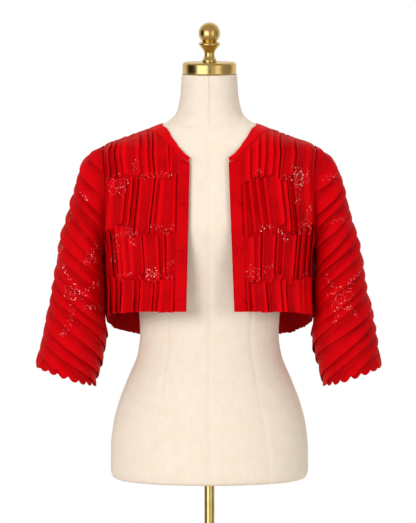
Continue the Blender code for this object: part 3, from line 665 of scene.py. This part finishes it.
def cloth_shell(name, outer, inner, painted_shading, cut=None):
    """A closed wall of cloth from a grid of outer and inner points, without the faces in cut."""
    columns, rows = outer.shape[0] - 1, outer.shape[1] - 1
    bm = bmesh.new()
    bmesh.ops.create_grid(bm, x_segments=columns, y_segments=rows, size=0.5)
    if cut is not None:
        middles = [(face, face.calc_center_median()) for face in bm.faces]
        hidden = [face for face, at in middles if cut[int((at.x + 0.5) * columns), int((0.5 - at.y) * rows)]]
        bmesh.ops.delete(bm, geom=hidden, context="FACES")
    grown = bmesh.ops.extrude_face_region(bm, geom=bm.faces[:], use_keep_orig=True)["geom"]
    raised = [part for part in grown if isinstance(part, bmesh.types.BMVert)]
    bmesh.ops.translate(bm, verts=raised, vec=(0, 0, 1))
    bmesh.ops.recalc_face_normals(bm, faces=bm.faces)
    column, row, outside = grid_cells(bm, columns, rows)
    # Painted shade: the outside takes its painted shading tone, and the inside a dark painted shade.
    mark_painted_shading(bm, np.where(outside, painted_shading[column, row], LINING_SHADE_TONE))
    places = np.where(outside[:, None], outer[column, row], inner[column, row])
    return place_and_close(name, bm, places, red_satin)


draws = np.random.RandomState(11)


def row_levels():
    """Levels of a panel's rows from the top down, closest where the tucks turn over."""
    fine = np.linspace(CAUGHT_ROWS[0] + YOKE_LEVELS, CAUGHT_ROWS[-1] - SKIRT_LEVELS, 4000)
    density = 1 + sum(2.2 * np.exp(-((fine - row) / 13) ** 4) for row in CAUGHT_ROWS)
    filled = np.concatenate([[0], np.cumsum((density[1:] + density[:-1]) / 2)])
    levels = np.interp(np.linspace(0, filled[-1], ROWS + 1), filled, fine)
    armhole_row = int(np.argmin(np.abs(levels - ARMHOLE_MIDDLE)))
    levels[armhole_row] = ARMHOLE_MIDDLE
    return levels, armhole_row


def tuck_lies(count):
    """How each tuck lies in each tier: its side, its width and how far its edge springs, and how
    late it turns over. Two tucks that face each other are narrow enough to lie side by side."""
    tiers = len(CAUGHT_ROWS) + 1
    turns = draws.uniform(size=(count, tiers)) < 0.78
    leans = np.empty((count, tiers))
    leans[:, 0] = np.where(draws.uniform(size=count) < 0.7, 1, -1)
    for tier in range(1, tiers):
        leans[:, tier] = np.where(turns[:, tier], -leans[:, tier - 1], leans[:, tier - 1])
    widths = draws.uniform(0.5, 0.8, leans.shape)
    meet = (leans[:-1] > 0) & (leans[1:] < 0)
    facing = np.zeros(leans.shape, bool)
    facing[:-1] |= meet
    facing[1:] |= meet
    widths = np.where(facing, draws.uniform(0.3, 0.46, leans.shape), widths)
    lifts = draws.uniform(1.2, 4.4, leans.shape)
    return np.stack([leans, widths, lifts]), draws.uniform(-13, 13, (count, tiers - 1))


def scallop(place, near_hem, back):
    """How far the back's hem hangs down in small scallops, two to a tuck."""
    lobe = np.abs(np.cos(2 * math.pi * place)) ** 0.7
    return BACK_SCALLOP_DEPTH * (lobe - 0.5) * near_hem * back


def tucked_panel(name, first, start, back, sign):
    """A panel of tucks from the first one, counted from its start, with the cloth past the armhole."""
    last = TUCKS + SIDE_TUCKS
    levels, armhole_row = row_levels()
    columns = (last - first) * len(TUCK_SAMPLES)
    number, sample = np.divmod(np.arange(columns + 1), len(TUCK_SAMPLES))
    side, along = TUCK_SAMPLES[sample].T[..., None]
    lies, late = tuck_lies(last - first + 1)
    lies = lies[:, number]
    level = levels + 0 * along
    lie = lies[..., :1] + 0 * level
    for tier, row in enumerate(CAUGHT_ROWS):
        below = (1 - np.tanh((level - row - late[number, tier:tier + 1]) / 1.8)) / 2
        lie += below * np.diff(lies[..., tier:tier + 2])
    lean, width, lift = lie
    shift = np.interp(-level, [-levels[0], *(-row for row in CAUGHT_ROWS), -levels[-1]], DRIFT)
    shift += np.interp(-level, [-CAUGHT_ROWS[1], -CAUGHT_ROWS[2]], (0, 0.3)) * (level > CAUGHT_ROWS[2])
    root = first + number[:, None] + 0.5
    from_edge = np.minimum(TUCKS - np.abs(root), root - first)
    root = root + shift * np.clip(from_edge / 2, 0, 1)
    beside_armhole = levels >= ARMHOLE_MIDDLE
    room_after = np.maximum(np.where(beside_armhole, TUCKS, last) - root - FOLD_MARGIN, 0.2)
    room_before = np.maximum(root - np.where(beside_armhole, max(first, -TUCKS), first) - FOLD_MARGIN, 0.2)
    reach = np.clip(width * lean, -room_before, room_after)
    hanging = smooth_step((CAUGHT_ROWS[2] - 25 - level) / 60)
    across, out = tuck_section(side, along, reach, lean * (1 - 0.25 * hanging), lift * (1 + hanging),
                               TUCK_STAND + 2 * hanging, BACK_TUCK_WIDTH if back else FRONT_TUCK_WIDTH)
    place = np.clip(root + across, first, last)
    place[-1] = last
    out[-1] = 0
    near_hem = smooth_step((levels[-1] + 16 - level) / 16)
    hem_drops = draws.uniform(-1.3, 1.7, last - first + 1)
    z = panel_heights(place, level, start, back)
    x, y = column_place(place, z, start(z), back)
    z = z - hem_drops[number][:, None] * near_hem * (sample > 0)[:, None] - scallop(place, near_hem, back)
    from_armhole = np.hypot(y / ARMHOLE_HALF_WIDTH, (z - ARMHOLE_MIDDLE) / ARMHOLE_HALF_HEIGHT) - 1
    at_armhole = np.where(np.abs(x) > 150, smooth_step(from_armhole / 0.4), 1)
    from_top = smooth_step((levels[0] - level) / 14)
    under_arm = smooth_step((np.abs(x) - UNDER_ARM_X) / 8) * smooth_step((UNDER_ARM_TOP - z) / 20)
    out = out * (0.3 + 0.7 * at_armhole) * (0.3 + 0.7 * from_top) * (1 - 0.85 * under_arm)
    swell = np.exp(-((y - UNDER_ARM_SWELL_Y) / 15) ** 2) * smooth_step((z - UNDER_ARM_SWELL_FOOT) / 20)
    out += UNDER_ARM_SWELL * back * under_arm * swell
    # Painted shade: the cloth is painted darker the deeper it lies in the folds.
    painted_shading = FOLD_SHADE_TONE + (1 - FOLD_SHADE_TONE) * np.clip(out / FULL_LIFT, 0, 1)
    inside = np.stack([x, y, z], axis=-1)
    outer = inside + jacket_outward(inside) * (WALL + out)[..., None]
    even = np.linspace(first, last, columns + 1)[:, None] + 0 * level
    inner_z = panel_heights(even, level, start, back)
    inner_x, inner_y = column_place(even, inner_z, start(inner_z), back)
    inner = np.stack([inner_x, inner_y, inner_z - scallop(even, near_hem, back)], axis=-1)
    middle = first + (np.arange(columns) + 0.5) / len(TUCK_SAMPLES)
    cut = (np.abs(middle) > TUCKS)[:, None] & (np.arange(ROWS) < armhole_row)
    return cloth_shell(name, outer * (sign, 1, 1), inner * (sign, 1, 1), painted_shading, cut)


jacket_pieces = {}
for side_name, side_sign in (("right", -1), ("left", 1)):
    def band_edge(z):
        return edge_width(side_name, z) + FRONT_BAND_WIDTH + SEAM_GAP / 2

    front = tucked_panel("front_" + side_name + "_tucks", 0, band_edge, False, side_sign)
    fit_on_part(front, "front_" + side_name)
    jacket_pieces["front_" + side_name] = front
back_panel = tucked_panel("back_tucks", -TUCKS - SIDE_TUCKS, np.zeros_like, True, 1)
fit_on_part(back_panel, "back")
jacket_pieces["back"] = back_panel

# Sleeves: long and slightly flared, cut from cloth folded into tucks that run slantwise round
# the arm, all pressed towards the cuff, and lined. The cuff edge is cut in scallops.
SLEEVE_COLUMNS = ("share", "inner_x", "inner_height", "outer_x", "outer_height", "half_depth")
SLEEVE_RINGS = (
    (0.00, 186.5, 966, 181, 1149, 52), (0.08, 191, 945, 209, 1127, 54.5), (0.20, 193, 918, 227.5, 1088, 58),
    (0.35, 190.5, 883, 243.5, 1033, 61), (0.50, 187, 850, 259, 977, 63), (0.65, 182.5, 817, 269, 915, 65),
    (0.80, 189, 780, 281, 857, 67), (0.92, 197, 751, 291, 808, 68), (1.00, 204, 729, 300.5, 762, 69),
)
SLEEVE_TOP_SHARE = 0.3
ARMHOLE_CLEARANCE = 0.55
ARM_AXIS = np.array((0.21, 0, -0.978))
SLEEVE_TUCK_SPACING = 25
SLEEVE_TUCK_WIDTH = 22
SLEEVE_TUCKS_ROUND = 7
SLEEVE_STEPS_ROUND = 128
# The sleeves' lightest painted tone, kept below the body's, so the whole sleeve is painted in shade.
SLEEVE_SHADED_TONE = 0.68
BODY_SIDE_EASE = 8
LINING_ROWS = 60
SCALLOPS_ROUND = 17
SCALLOP_DEPTH = 8
SCALLOP_REACH = 0.05
SLEEVE_SAMPLES = np.array((
    (0, -0.5), (0, -0.34), (0, -0.18), (0, -0.03), (-1, 0.12), (-1, 0.3), (-1, 0.5), (-1, 0.7), (-1, 0.86),
    (-1, 0.96), (-1, 1), (1, 0.94), (1, 0.7), (1, 0.4), (1, 0.15), (0, 0.03), (0, 0.26),
))
SLEEVE = table_curves(SLEEVE_COLUMNS, SLEEVE_RINGS)


def sleeve_inside(share, angle):
    """A point of a sleeve's inside. Angle 0 is away from the body and a quarter turn is in front."""
    toward = (1 - np.cos(angle)) / 2
    armhole_y = -ARMHOLE_HALF_WIDTH * np.sin(angle)
    armhole_z = ARMHOLE_MIDDLE + ARMHOLE_HALF_HEIGHT * np.cos(angle)
    body_edge = np.stack([jacket_width(armhole_y, armhole_z, armhole_y > 0), armhole_y, armhole_z], axis=-1)
    clear_x = WALL * (jacket_outward(body_edge)[..., 0] + np.clip(-np.cos(angle), 0, 1)) + ARMHOLE_CLEARANCE
    armhole = body_edge + clear_x[..., None] * (1, 0, 0)

    def on_ring(at):
        x = SLEEVE["outer_x"](at) * (1 - toward) + SLEEVE["inner_x"](at) * toward
        z = SLEEVE["outer_height"](at) * (1 - toward) + SLEEVE["inner_height"](at) * toward
        return np.stack([x, -SLEEVE["half_depth"](at) * np.sin(angle), z], axis=-1)

    from_top = np.clip(share / SLEEVE_TOP_SHARE, 0, 1)
    fade = (1 - from_top) ** 2 * (1 + 2 * from_top)
    return on_ring(share) + (armhole - on_ring(np.zeros_like(share))) * fade[..., None]


def sleeve_outward(share, angle):
    """The direction out of a sleeve's cloth, square to its two directions on the surface."""
    reach = 0.004
    further, nearer = np.clip(share + reach, 0, 1), np.clip(share - reach, 0, 1)
    along = sleeve_inside(further, angle) - sleeve_inside(nearer, angle)
    around = sleeve_inside(share, angle + reach) - sleeve_inside(share, angle - reach)
    normal = np.cross(around, along)
    return normal / np.linalg.norm(normal, axis=-1, keepdims=True)


def side_ease(share, angle):
    """How far the upper sleeve swells out towards the body, most in front of the side seam."""
    toward_body = np.clip(-np.cos(angle + 0.3), 0, 1) ** 6
    return BODY_SIDE_EASE * toward_body * np.exp(-((share - 0.27) / 0.2) ** 2)


def tucked_sleeve(name, sign):
    """A sleeve from a grid: steps round it across, and the tucks, then the lining, down each step.

    The tucks slant, so a tuck that leaves the grid at one side comes back SLEEVE_TUCKS_ROUND lower
    at the other. Each step's tucks are cut off where they pass the armhole and the cuff.
    """
    angles = np.linspace(-math.pi, math.pi, SLEEVE_STEPS_ROUND + 1)
    fine = np.linspace(0, 1, 400)
    distances = np.maximum.accumulate(sleeve_inside(*np.meshgrid(fine, angles)) @ ARM_AXIS, axis=1)
    slant = SLEEVE_TUCKS_ROUND * angles[:, None] / (2 * math.pi)
    fine_tucks = distances / SLEEVE_TUCK_SPACING - slant
    first = math.floor(fine_tucks.min()) - 1
    count = math.ceil(fine_tucks.max()) + 1 - first
    number = first + np.repeat(np.arange(count), len(SLEEVE_SAMPLES))
    side, along = np.tile(SLEEVE_SAMPLES, (count, 1)).T
    lies = draws.uniform(0, 2 * math.pi, (2, SLEEVE_TUCKS_ROUND))[:, number % SLEEVE_TUCKS_ROUND]
    down = number + 0.5 + slant
    reach = 0.66 + 0.17 * np.sin(down * 0.9 + lies[0])
    lift = 2.7 + 1.7 * np.sin(down * 1.3 + lies[1])
    across, out = tuck_section(side, along, reach, 1, lift, 0, SLEEVE_TUCK_WIDTH)
    tuck = number + 0.5 + across
    row = np.arange(len(number))
    starts = np.argmax(tuck >= fine_tucks[:, :1], axis=1)[:, None]
    ends = np.argmax(tuck > fine_tucks[:, -1:], axis=1)[:, None] - 1
    out = np.take_along_axis(out, np.clip(row, starts, ends), axis=1)
    share = np.stack([np.interp(t, known, fine) for t, known in zip(tuck, fine_tucks)])
    share = np.where(row < starts, 0, np.where(row > ends, 1, share))
    angle = angles[:, None] + 0 * share
    beside_body = np.clip(-np.cos(angle) - 0.3, 0, 0.7) / 0.7 * np.clip(3 * (0.87 - share), 0, 1)
    out = out * (0.25 + 0.75 * smooth_step(share / 0.06)) * (1 - 0.85 * beside_body)
    out += side_ease(share, angle)
    outside = sleeve_inside(share, angle) + sleeve_outward(share, angle) * (WALL + out)[..., None]
    flat = np.meshgrid(np.linspace(1, 0, LINING_ROWS + 1), angles)
    lining = sleeve_inside(*flat) + sleeve_outward(*flat) * side_ease(*flat)[..., None]
    places = np.concatenate([outside, lining, outside[:, :1]], axis=1)
    shares = np.concatenate([share, flat[0], share[:, :1]], axis=1)
    # Painted shade: the sleeve is painted darker in its folds and never as light as the body, and its lining
    # is painted in dark shade.
    painted_shading = FOLD_SHADE_TONE + (SLEEVE_SHADED_TONE - FOLD_SHADE_TONE) * np.clip(out / FULL_LIFT, 0, 1)
    painted_shading = np.concatenate([painted_shading, LINING_SHADE_TONE + 0 * flat[0], painted_shading[:, :1]], axis=1)
    lobe = np.abs(np.cos(SCALLOPS_ROUND / 2 * angles)) ** 0.8
    places[..., 2] -= SCALLOP_DEPTH * (lobe[:, None] - 0.6) * smooth_step((shares - 1) / SCALLOP_REACH + 1)
    columns, rows = shares.shape[0] - 1, shares.shape[1] - 1
    bm = bmesh.new()
    bmesh.ops.create_grid(bm, x_segments=columns, y_segments=rows, size=0.5)
    column, row, _ = grid_cells(bm, columns, rows)
    mark_painted_shading(bm, painted_shading[column, row])
    return place_and_close(name, bm, places[column, row] * (sign, 1, 1), red_satin)


for side_name, side_sign in (("right", -1), ("left", 1)):
    sleeve = tucked_sleeve("sleeve_" + side_name + "_tucks", side_sign)
    fit_on_part(sleeve, "sleeve_" + side_name)
    jacket_pieces["sleeve_" + side_name] = sleeve

# Neckband and front bands: the same satin, cut plain, interfaced and pressed, and sewn on over
# the raw tops and edges of the tucked panels.
BAND_SWELL = 0.5
BAND_EDGE_DROP = 0.5
NECKBAND_STEPS = 180
FRONT_BAND_ROWS = 110
BAND_COLUMNS = 12
# Painted light and shade on the same satin: the neckband is painted in a lighter tone than the front bands.
NECKBAND_TONE = 0.75
BAND_TONE = 0.5
SEAM_OVERLAP = 0.9


def band_swell(share):
    """How far a band stands out across its width: rolled down at both edges, flat between."""
    return BAND_SWELL - (BAND_SWELL + BAND_EDGE_DROP) * np.abs(2 * share - 1) ** 5


def edge_angle(side):
    """The angle at which the neckband ends on a front edge."""
    width = edge_width(side, EDGE_TOP_HEIGHT) / JACKET["half_width"](EDGE_TOP_HEIGHT)
    return math.asin(width ** (JACKET["power"](EDGE_TOP_HEIGHT) / 2))


def neckline_turns(margin, count):
    """Angles along the neckline, from the left front edge round the back to the right one."""
    turn = np.linspace(edge_angle("left") + margin, 2 * math.pi - edge_angle("right") - margin, count)
    return np.where(turn > math.pi, turn - 2 * math.pi, turn)


turn = neckline_turns(0, NECKBAND_STEPS + 1)
share = np.linspace(0, 1, BAND_COLUMNS + 1)
inside = np.stack([neckband_point(turn, s) for s in share], axis=1)
outer = inside + jacket_outward(inside) * (WALL + band_swell(share))[None, :, None]
neckband = cloth_shell("neckband_satin", outer, inside, np.full(inside.shape[:2], NECKBAND_TONE))
fit_on_part(neckband, "neckband")

for side_name, side_sign in (("right", -1), ("left", 1)):
    across = share[:, None] * (FRONT_BAND_WIDTH + SEAM_OVERLAP)
    top = top_height(edge_width(side_name, EDGE_TOP_HEIGHT) + across, False)
    hem_x = edge_width(side_name, EDGE_HEM_HEIGHT) + across
    hem = hem_height(jacket_depth(hem_x, EDGE_HEM_HEIGHT, False))
    z = top + (hem - top) * np.linspace(0, 1, FRONT_BAND_ROWS + 1)
    x = edge_width(side_name, z) + across
    inside = np.stack([x, jacket_depth(x, z, False), z], axis=-1)
    outer = inside + jacket_outward(inside) * (WALL + band_swell(share))[:, None, None]
    band = cloth_shell("front_band_" + side_name + "_satin", outer * (side_sign, 1, 1),
                       inside * (side_sign, 1, 1), np.full(x.shape, BAND_TONE))
    fit_on_part(band, "front_band_" + side_name)

# Covered buttons: small domed metal shells with the jacket's cloth stretched over them and tucked
# in behind, sewn on the wearer's left band through a shank.
BUTTON_HEIGHTS = (1131, 1054, 974, 888)
BUTTON_FROM_EDGE = 13.5
BUTTON_LIFT = 0.7
BUTTON_TONE = 0.62
BUTTON_PROFILE = (
    (0, 3.1), (1.2, 3), (2.4, 2.7), (3.4, 2.1), (4.1, 1.3), (4.45, 0.5), (4.4, 0), (4.05, -0.3), (3.3, -0.2),
    (1.6, -0.1), (0, -0.1),
)


def band_place(side, from_edge, z):
    """A point on a front band's inside, at a distance from its front edge, and the way out of it."""
    x = edge_width(side, z) + from_edge
    point = np.stack([x, jacket_depth(x, z, False), z + 0 * x], axis=-1)
    mirror = (-1 if side == "right" else 1, 1, 1)
    return point * mirror, jacket_outward(point) * mirror


def facing(direction, place):
    """The turn and move that set a shape on a place, with its top towards a direction."""
    matrix = Vector(direction).to_track_quat("Z", "Y").to_matrix().to_4x4()
    matrix.translation = Vector(place)
    return matrix


for number, height in enumerate(BUTTON_HEIGHTS, start=1):
    point, outward = band_place("left", BUTTON_FROM_EDGE, np.float64(height))
    bm = spun(BUTTON_PROFILE, 24)
    mark_painted_shading(bm, np.full(len(bm.verts), BUTTON_TONE))
    bmesh.ops.transform(bm, matrix=facing(outward, point + outward * (WALL + BUTTON_LIFT)), verts=bm.verts)
    button = place_and_close("covered_button_" + str(number), bm, vertex_places(bm), red_satin)
    fit_on_part(button, "button_" + str(number))

# Topstitching and buttonholes: red silk thread, run 2 mm inside the edges of the bands and round
# the neck, and worked closely round the four slits on the wearer's right band.
STITCH_STEP = 3.4
STITCH_LENGTH = 2.5
STITCH_RADIUS = 0.2
EDGE_ROW = 2.2
HEM_MARGIN = 3
BAND_TOP_MARGIN = 6
NECK_ROW_SHARE = 0.12
NECK_END_MARGIN = 0.05
NECK_STITCHES = 170
BUTTONHOLE_LENGTH = 11
BUTTONHOLE_STEP = 0.7
BUTTONHOLE_STITCH = 1.5
BUTTONHOLE_FROM_EDGE = 11.5
SLIT_HALF_WIDTH = 0.8

# Silk sewing thread in the cloth's red: a little brighter and smoother than the crepe round it.
silk_thread, tree, shader = new_material("twisted_silk_thread")
place = add_node(tree, "ShaderNodeTexCoord").outputs["Object"]
twist = add_node(tree, "ShaderNodeTexWave", {"bands_direction": "DIAGONAL", "Scale": 420}, {"Vector": place})
tone = add_node(tree, "ShaderNodeMix", {"data_type": "RGBA", 6: linear("#94020A"), 7: linear("#BC0610")},
                {"Factor": twist.outputs["Fac"]})
fill_in(tree, shader, {"Roughness": 0.4, "Specular IOR Level": 0.03}, {"Base Color": tone.outputs[2]})


def thread_piece(name, stitches):
    """Stitches as short round-ended lengths of thread, each a middle, a direction and a length."""
    bm = bmesh.new()
    for middle, direction, length in stitches:
        made = bmesh.ops.create_cone(bm, cap_ends=True, segments=6, radius1=STITCH_RADIUS,
                                     radius2=STITCH_RADIUS,
                                     depth=length, matrix=facing(direction, middle))
        ends = {face for vert in made["verts"] for face in vert.link_faces if len(face.verts) == 6}
        bmesh.ops.inset_region(bm, faces=list(ends), thickness=STITCH_RADIUS / 2, depth=STITCH_RADIUS / 2)
    bmesh.ops.scale(bm, vec=(MM, MM, MM), verts=bm.verts)
    fit_on_part(add_piece(name, bm, silk_thread, 60))


def stitch_row(points, outwards, lift):
    """Stitches along a row of points about a stitch apart, half sunk in the cloth."""
    raised = points + outwards * lift
    steps = np.gradient(raised, axis=0)
    steps /= np.linalg.norm(steps, axis=1)[:, None]
    return [(place, step, STITCH_LENGTH) for place, step in zip(raised, steps)]


heights = np.arange(EDGE_HEM_HEIGHT + HEM_MARGIN, EDGE_TOP_HEIGHT - BAND_TOP_MARGIN, STITCH_STEP)
for side_name in ("right", "left"):
    stitches = []
    for from_edge in (EDGE_ROW, FRONT_BAND_WIDTH - EDGE_ROW):
        lift = WALL + band_swell(from_edge / FRONT_BAND_WIDTH)
        stitches += stitch_row(*band_place(side_name, from_edge, heights), lift)
    thread_piece("front_band_" + side_name + "_topstitching", stitches)

points = neckband_point(neckline_turns(NECK_END_MARGIN, NECK_STITCHES), NECK_ROW_SHARE)
lift = WALL + band_swell(NECK_ROW_SHARE)
thread_piece("neckband_topstitching", stitch_row(points, jacket_outward(points), lift))

stitches = []
for height in BUTTON_HEIGHTS[1:] + (BUTTON_HEIGHTS[0] - BAND_TOP_MARGIN,):
    for along in np.arange(-BUTTONHOLE_LENGTH / 2, BUTTONHOLE_LENGTH / 2 + 0.1, BUTTONHOLE_STEP):
        for beside in (-SLIT_HALF_WIDTH, SLIT_HALF_WIDTH):
            point, outward = band_place("right", BUTTONHOLE_FROM_EDGE + along, np.float64(height + beside))
            seat = point + outward * (WALL + BAND_SWELL + 0.05)
            stitches.append((seat, (0, 0, 1), BUTTONHOLE_STITCH))
thread_piece("buttonhole_stitching", stitches)

# Sequin sprays: cupped sequins and small glass beads, sewn by hand through the cloth in flowers,
# sprigs and trails between the tucks, on the fronts, the back and both sleeves. They are listed
# by the way they face: place across, height, F for a flower or S for a sprig, size, and turn in
# degrees.
SEQUIN_RADIUS = 0.95
SEQUIN_CUP = 0.4
SEQUIN_DEPTH = 0.3
BEAD_RADIUS = 0.55
SEQUIN_SPACING = 2.2
HAND_ERROR = 0.7
LOST_SHARE = 0.08
SEARCH_REACH = 0.6
LEAST_FACING = 0.15
TOWARD_SHARE = 0.8
LEAN_SHARE = 0.5
SPRAYS = {
    (0, -1, 0): (  # front
        (-161, 1086, "F", 20, 20), (-129, 1103, "S", 24, 80), (-128, 1099, "S", 60, -4),
        (-104, 1021, "S", 36, -38), (-72, 1014, "S", 22, 12), (-144, 1018, "S", 34, -80),
        (-171, 994, "S", 44, 4), (-160, 990, "S", 38, -112), (-99, 932, "F", 13, 0),
        (-84, 937, "S", 30, 32), (-78, 929, "S", 28, -8), (-162, 922, "S", 26, 14),
        (122, 1102, "S", 32, -22), (78, 1098, "S", 16, 50), (145, 1122, "S", 40, -70),
        (158, 1100, "F", 17, 40), (154, 1086, "S", 30, -100), (84, 1010, "S", 24, 6),
        (118, 1012, "S", 26, -60), (168, 1012, "F", 14, 10), (168, 1022, "S", 26, 60),
        (76, 934, "F", 15, 30), (92, 938, "S", 22, 20), (160, 926, "S", 26, 4),
        (-236, 1070, "S", 24, -34), (-196, 982, "S", 40, -128), (-214, 966, "S", 24, -60),
        (-241, 896, "F", 15, 0), (-240, 914, "S", 30, 112), (-228, 884, "S", 44, 30),
        (-238, 876, "S", 58, -116), (-222, 872, "S", 36, -20), (196, 1092, "S", 34, 0),
        (216, 1088, "S", 24, 24), (212, 1016, "S", 22, 12), (229, 884, "F", 23, 24),
        (222, 900, "S", 30, 118), (240, 900, "S", 32, 44), (226, 872, "S", 30, -112),
        (240, 872, "S", 24, -52),
    ),
    (0, 1, 0): (  # back
        (-150, 1090, "F", 20, 0), (-120, 1100, "S", 56, -10), (-40, 1080, "S", 60, 12),
        (40, 1096, "F", 15, 20), (62, 1090, "S", 58, -16), (150, 1076, "F", 18, 40),
        (-90, 1012, "F", 18, 10), (-70, 1008, "S", 50, 24), (18, 1004, "S", 44, -30),
        (92, 1000, "F", 20, 0), (114, 996, "S", 40, -20), (-146, 938, "S", 52, 18),
        (-20, 926, "F", 20, 30), (4, 930, "S", 56, 10), (-38, 920, "S", 44, 160),
        (120, 920, "S", 48, 24), (-90, 862, "S", 40, -6), (60, 856, "S", 36, 14),
        (-242, 1010, "S", 40, 50), (-250, 900, "F", 20, 0), (-244, 884, "S", 50, -70),
        (236, 1010, "S", 40, 120), (250, 890, "F", 22, 0), (242, 872, "S", 46, -110),
    ),
    (-1, 0, 0): (  # right
        (8, 1046, "S", 46, -40), (-14, 968, "F", 18, 0), (6, 956, "S", 44, -30), (20, 850, "F", 20, 20),
        (4, 836, "S", 48, -120),
    ),
    (1, 0, 0): (  # left
        (-8, 1046, "S", 46, -140), (14, 968, "F", 18, 0), (-6, 956, "S", 44, -150),
        (-16, 850, "F", 20, 20), (-4, 836, "S", 48, -60),
    ),
}

# Sequins of coated film, and glass beads: hard and shiny, most in the cloth's red, some pink, and
# a few painted pale pearl to near white as painted glints. Each one's tone is kept in an attribute.
sequin_film, tree, shader = new_material("coated_sequin_film")
which = add_node(tree, "ShaderNodeAttribute", {"attribute_name": "tone"}).outputs["Fac"]
tone = add_node(tree, "ShaderNodeValToRGB", {}, {"Fac": which})
colour_stops(tone.color_ramp, [
    (0, "#C4101C"), (0.5, "#DC3440"), (0.72, "#EE6A70"), (0.88, "#FFB0A8"), (1, "#FFF0E8"),
])
place = add_node(tree, "ShaderNodeTexCoord").outputs["Object"]
scratches = add_node(tree, "ShaderNodeTexNoise", {"Scale": 900, "Detail": 2}, {"Vector": place})
gloss = add_node(tree, "ShaderNodeMapRange", {"To Min": 0.2, "To Max": 0.36}, {"Value": scratches})
fill_in(tree, shader, {"Metallic": 0.2, "Coat Weight": 0.3, "Coat Roughness": 0.08},
        {"Base Color": tone, "Roughness": gloss})


def flower_points(size):
    """Five petals in outline, a ring inside them and beads in the middle, in millimetres."""
    turn = np.arange(0, 2 * math.pi, SEQUIN_SPACING / size)
    petals = size * (0.42 + 0.58 * np.abs(np.cos(2.5 * turn)) ** 0.7)
    ring = np.arange(0, 2 * math.pi, SEQUIN_SPACING / size / 0.45)
    heart = np.arange(0, 2 * math.pi, 2 * math.pi / 6)
    radius = np.concatenate([petals, 0 * ring + size * 0.36, 0 * heart + size * 0.12])
    angle = np.concatenate([turn, ring, heart])
    is_bead = np.arange(len(angle)) >= len(turn) + len(ring)
    return radius * np.cos(angle), radius * np.sin(angle), is_bead


def sprig_points(size):
    """A curved stem with short leaves on both sides and a loose bud at its end, in millimetres."""
    along = np.arange(0, size, SEQUIN_SPACING)
    points = [(at, 0.16 * size * math.sin(2.2 * at / size), True) for at in along]
    for number, at in enumerate(along[1::2]):
        slope = math.radians(52) * (1 if number % 2 else -1)
        stem = 0.16 * size * math.sin(2.2 * at / size)
        for step in range(1, 4 if size > 30 else 3):
            reach = step * SEQUIN_SPACING * 0.85
            points.append((at + reach * math.cos(slope), stem + reach * math.sin(slope), False))
    for turn in np.arange(0, 2 * math.pi, 2 * math.pi / 5):
        points.append((size + 2.6 * math.cos(turn), 0.13 * size + 2.6 * math.sin(turn), False))
    return tuple(np.array(column) for column in zip(*points))


def cloth_tree(piece):
    """A piece's faces, ready to be found from outside."""
    bm = bmesh.new()
    bm.from_mesh(piece.data)
    found = BVHTree.FromBMesh(bm)
    bm.free()
    return found


cloth_trees = {name: cloth_tree(piece) for name, piece in jacket_pieces.items()}
sewn = {name: bmesh.new() for name in jacket_pieces}
tone_layers = {name: bm.verts.layers.float.new("tone") for name, bm in sewn.items()}

for side, rows in SPRAYS.items():
    toward = Vector(side)
    rightward = Vector((0, 0, 1)).cross(toward)
    for across, height, kind, size, turn in rows:
        u, v, is_bead = flower_points(size) if kind == "F" else sprig_points(size)
        u = u + draws.normal(0, HAND_ERROR, len(u))
        v = v + draws.normal(0, HAND_ERROR, len(v))
        cos_turn, sin_turn = math.cos(math.radians(turn)), math.sin(math.radians(turn))
        centre = rightward * (across * MM * rightward[0 if rightward[0] else 1])
        shine = draws.uniform(0.75, 1.15)
        for u_at, v_at, bead in zip(u, v, is_bead):
            kept, tone_draw, lean_x, lean_y = draws.uniform(size=4)
            if kept < LOST_SHARE:
                continue
            sideways = (u_at * cos_turn - v_at * sin_turn) * MM
            upward = (height + u_at * sin_turn + v_at * cos_turn) * MM
            start = centre + rightward * sideways + Vector((0, 0, upward)) + toward * SEARCH_REACH
            hits = [(*found.ray_cast(start, -toward), name) for name, found in cloth_trees.items()]
            hits = [hit for hit in hits if hit[0] is not None]
            if not hits:
                continue
            place, normal, _, distance, name = min(hits, key=lambda hit: hit[3])
            if distance > SEARCH_REACH or normal.dot(toward) < LEAST_FACING:
                continue
            lean = Vector((lean_x - 0.5, 0, lean_y - 0.5)) * LEAN_SHARE
            top_way = (normal + toward * TOWARD_SHARE + lean).normalized()
            bm = sewn[name]
            if bead:
                seat = facing(top_way, place + normal * (BEAD_RADIUS * 0.7 * MM))
                made = bmesh.ops.create_icosphere(bm, subdivisions=1, radius=BEAD_RADIUS * MM, matrix=seat)
            else:
                seat = facing(top_way, place + top_way * (SEQUIN_DEPTH * MM))
                made = bmesh.ops.create_cone(bm, cap_ends=True, segments=8, radius1=SEQUIN_RADIUS * MM,
                                             radius2=SEQUIN_CUP * MM, depth=SEQUIN_DEPTH * MM, matrix=seat)
            for vert in made["verts"]:
                # Painted glints: a high draw, raised further by the spray's shine, paints a sequin pale
                # pearl, as if it caught the light.
                vert[tone_layers[name]] = min(1, tone_draw ** 2 * shine)
for name, bm in sewn.items():
    fit_on_part(add_piece(name + "_sequins", bm, sequin_film))

size = {"cad": [list(map(float, corner)) for corner in cad_box]}
size["visual"] = [list(map(float, corner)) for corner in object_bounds()]
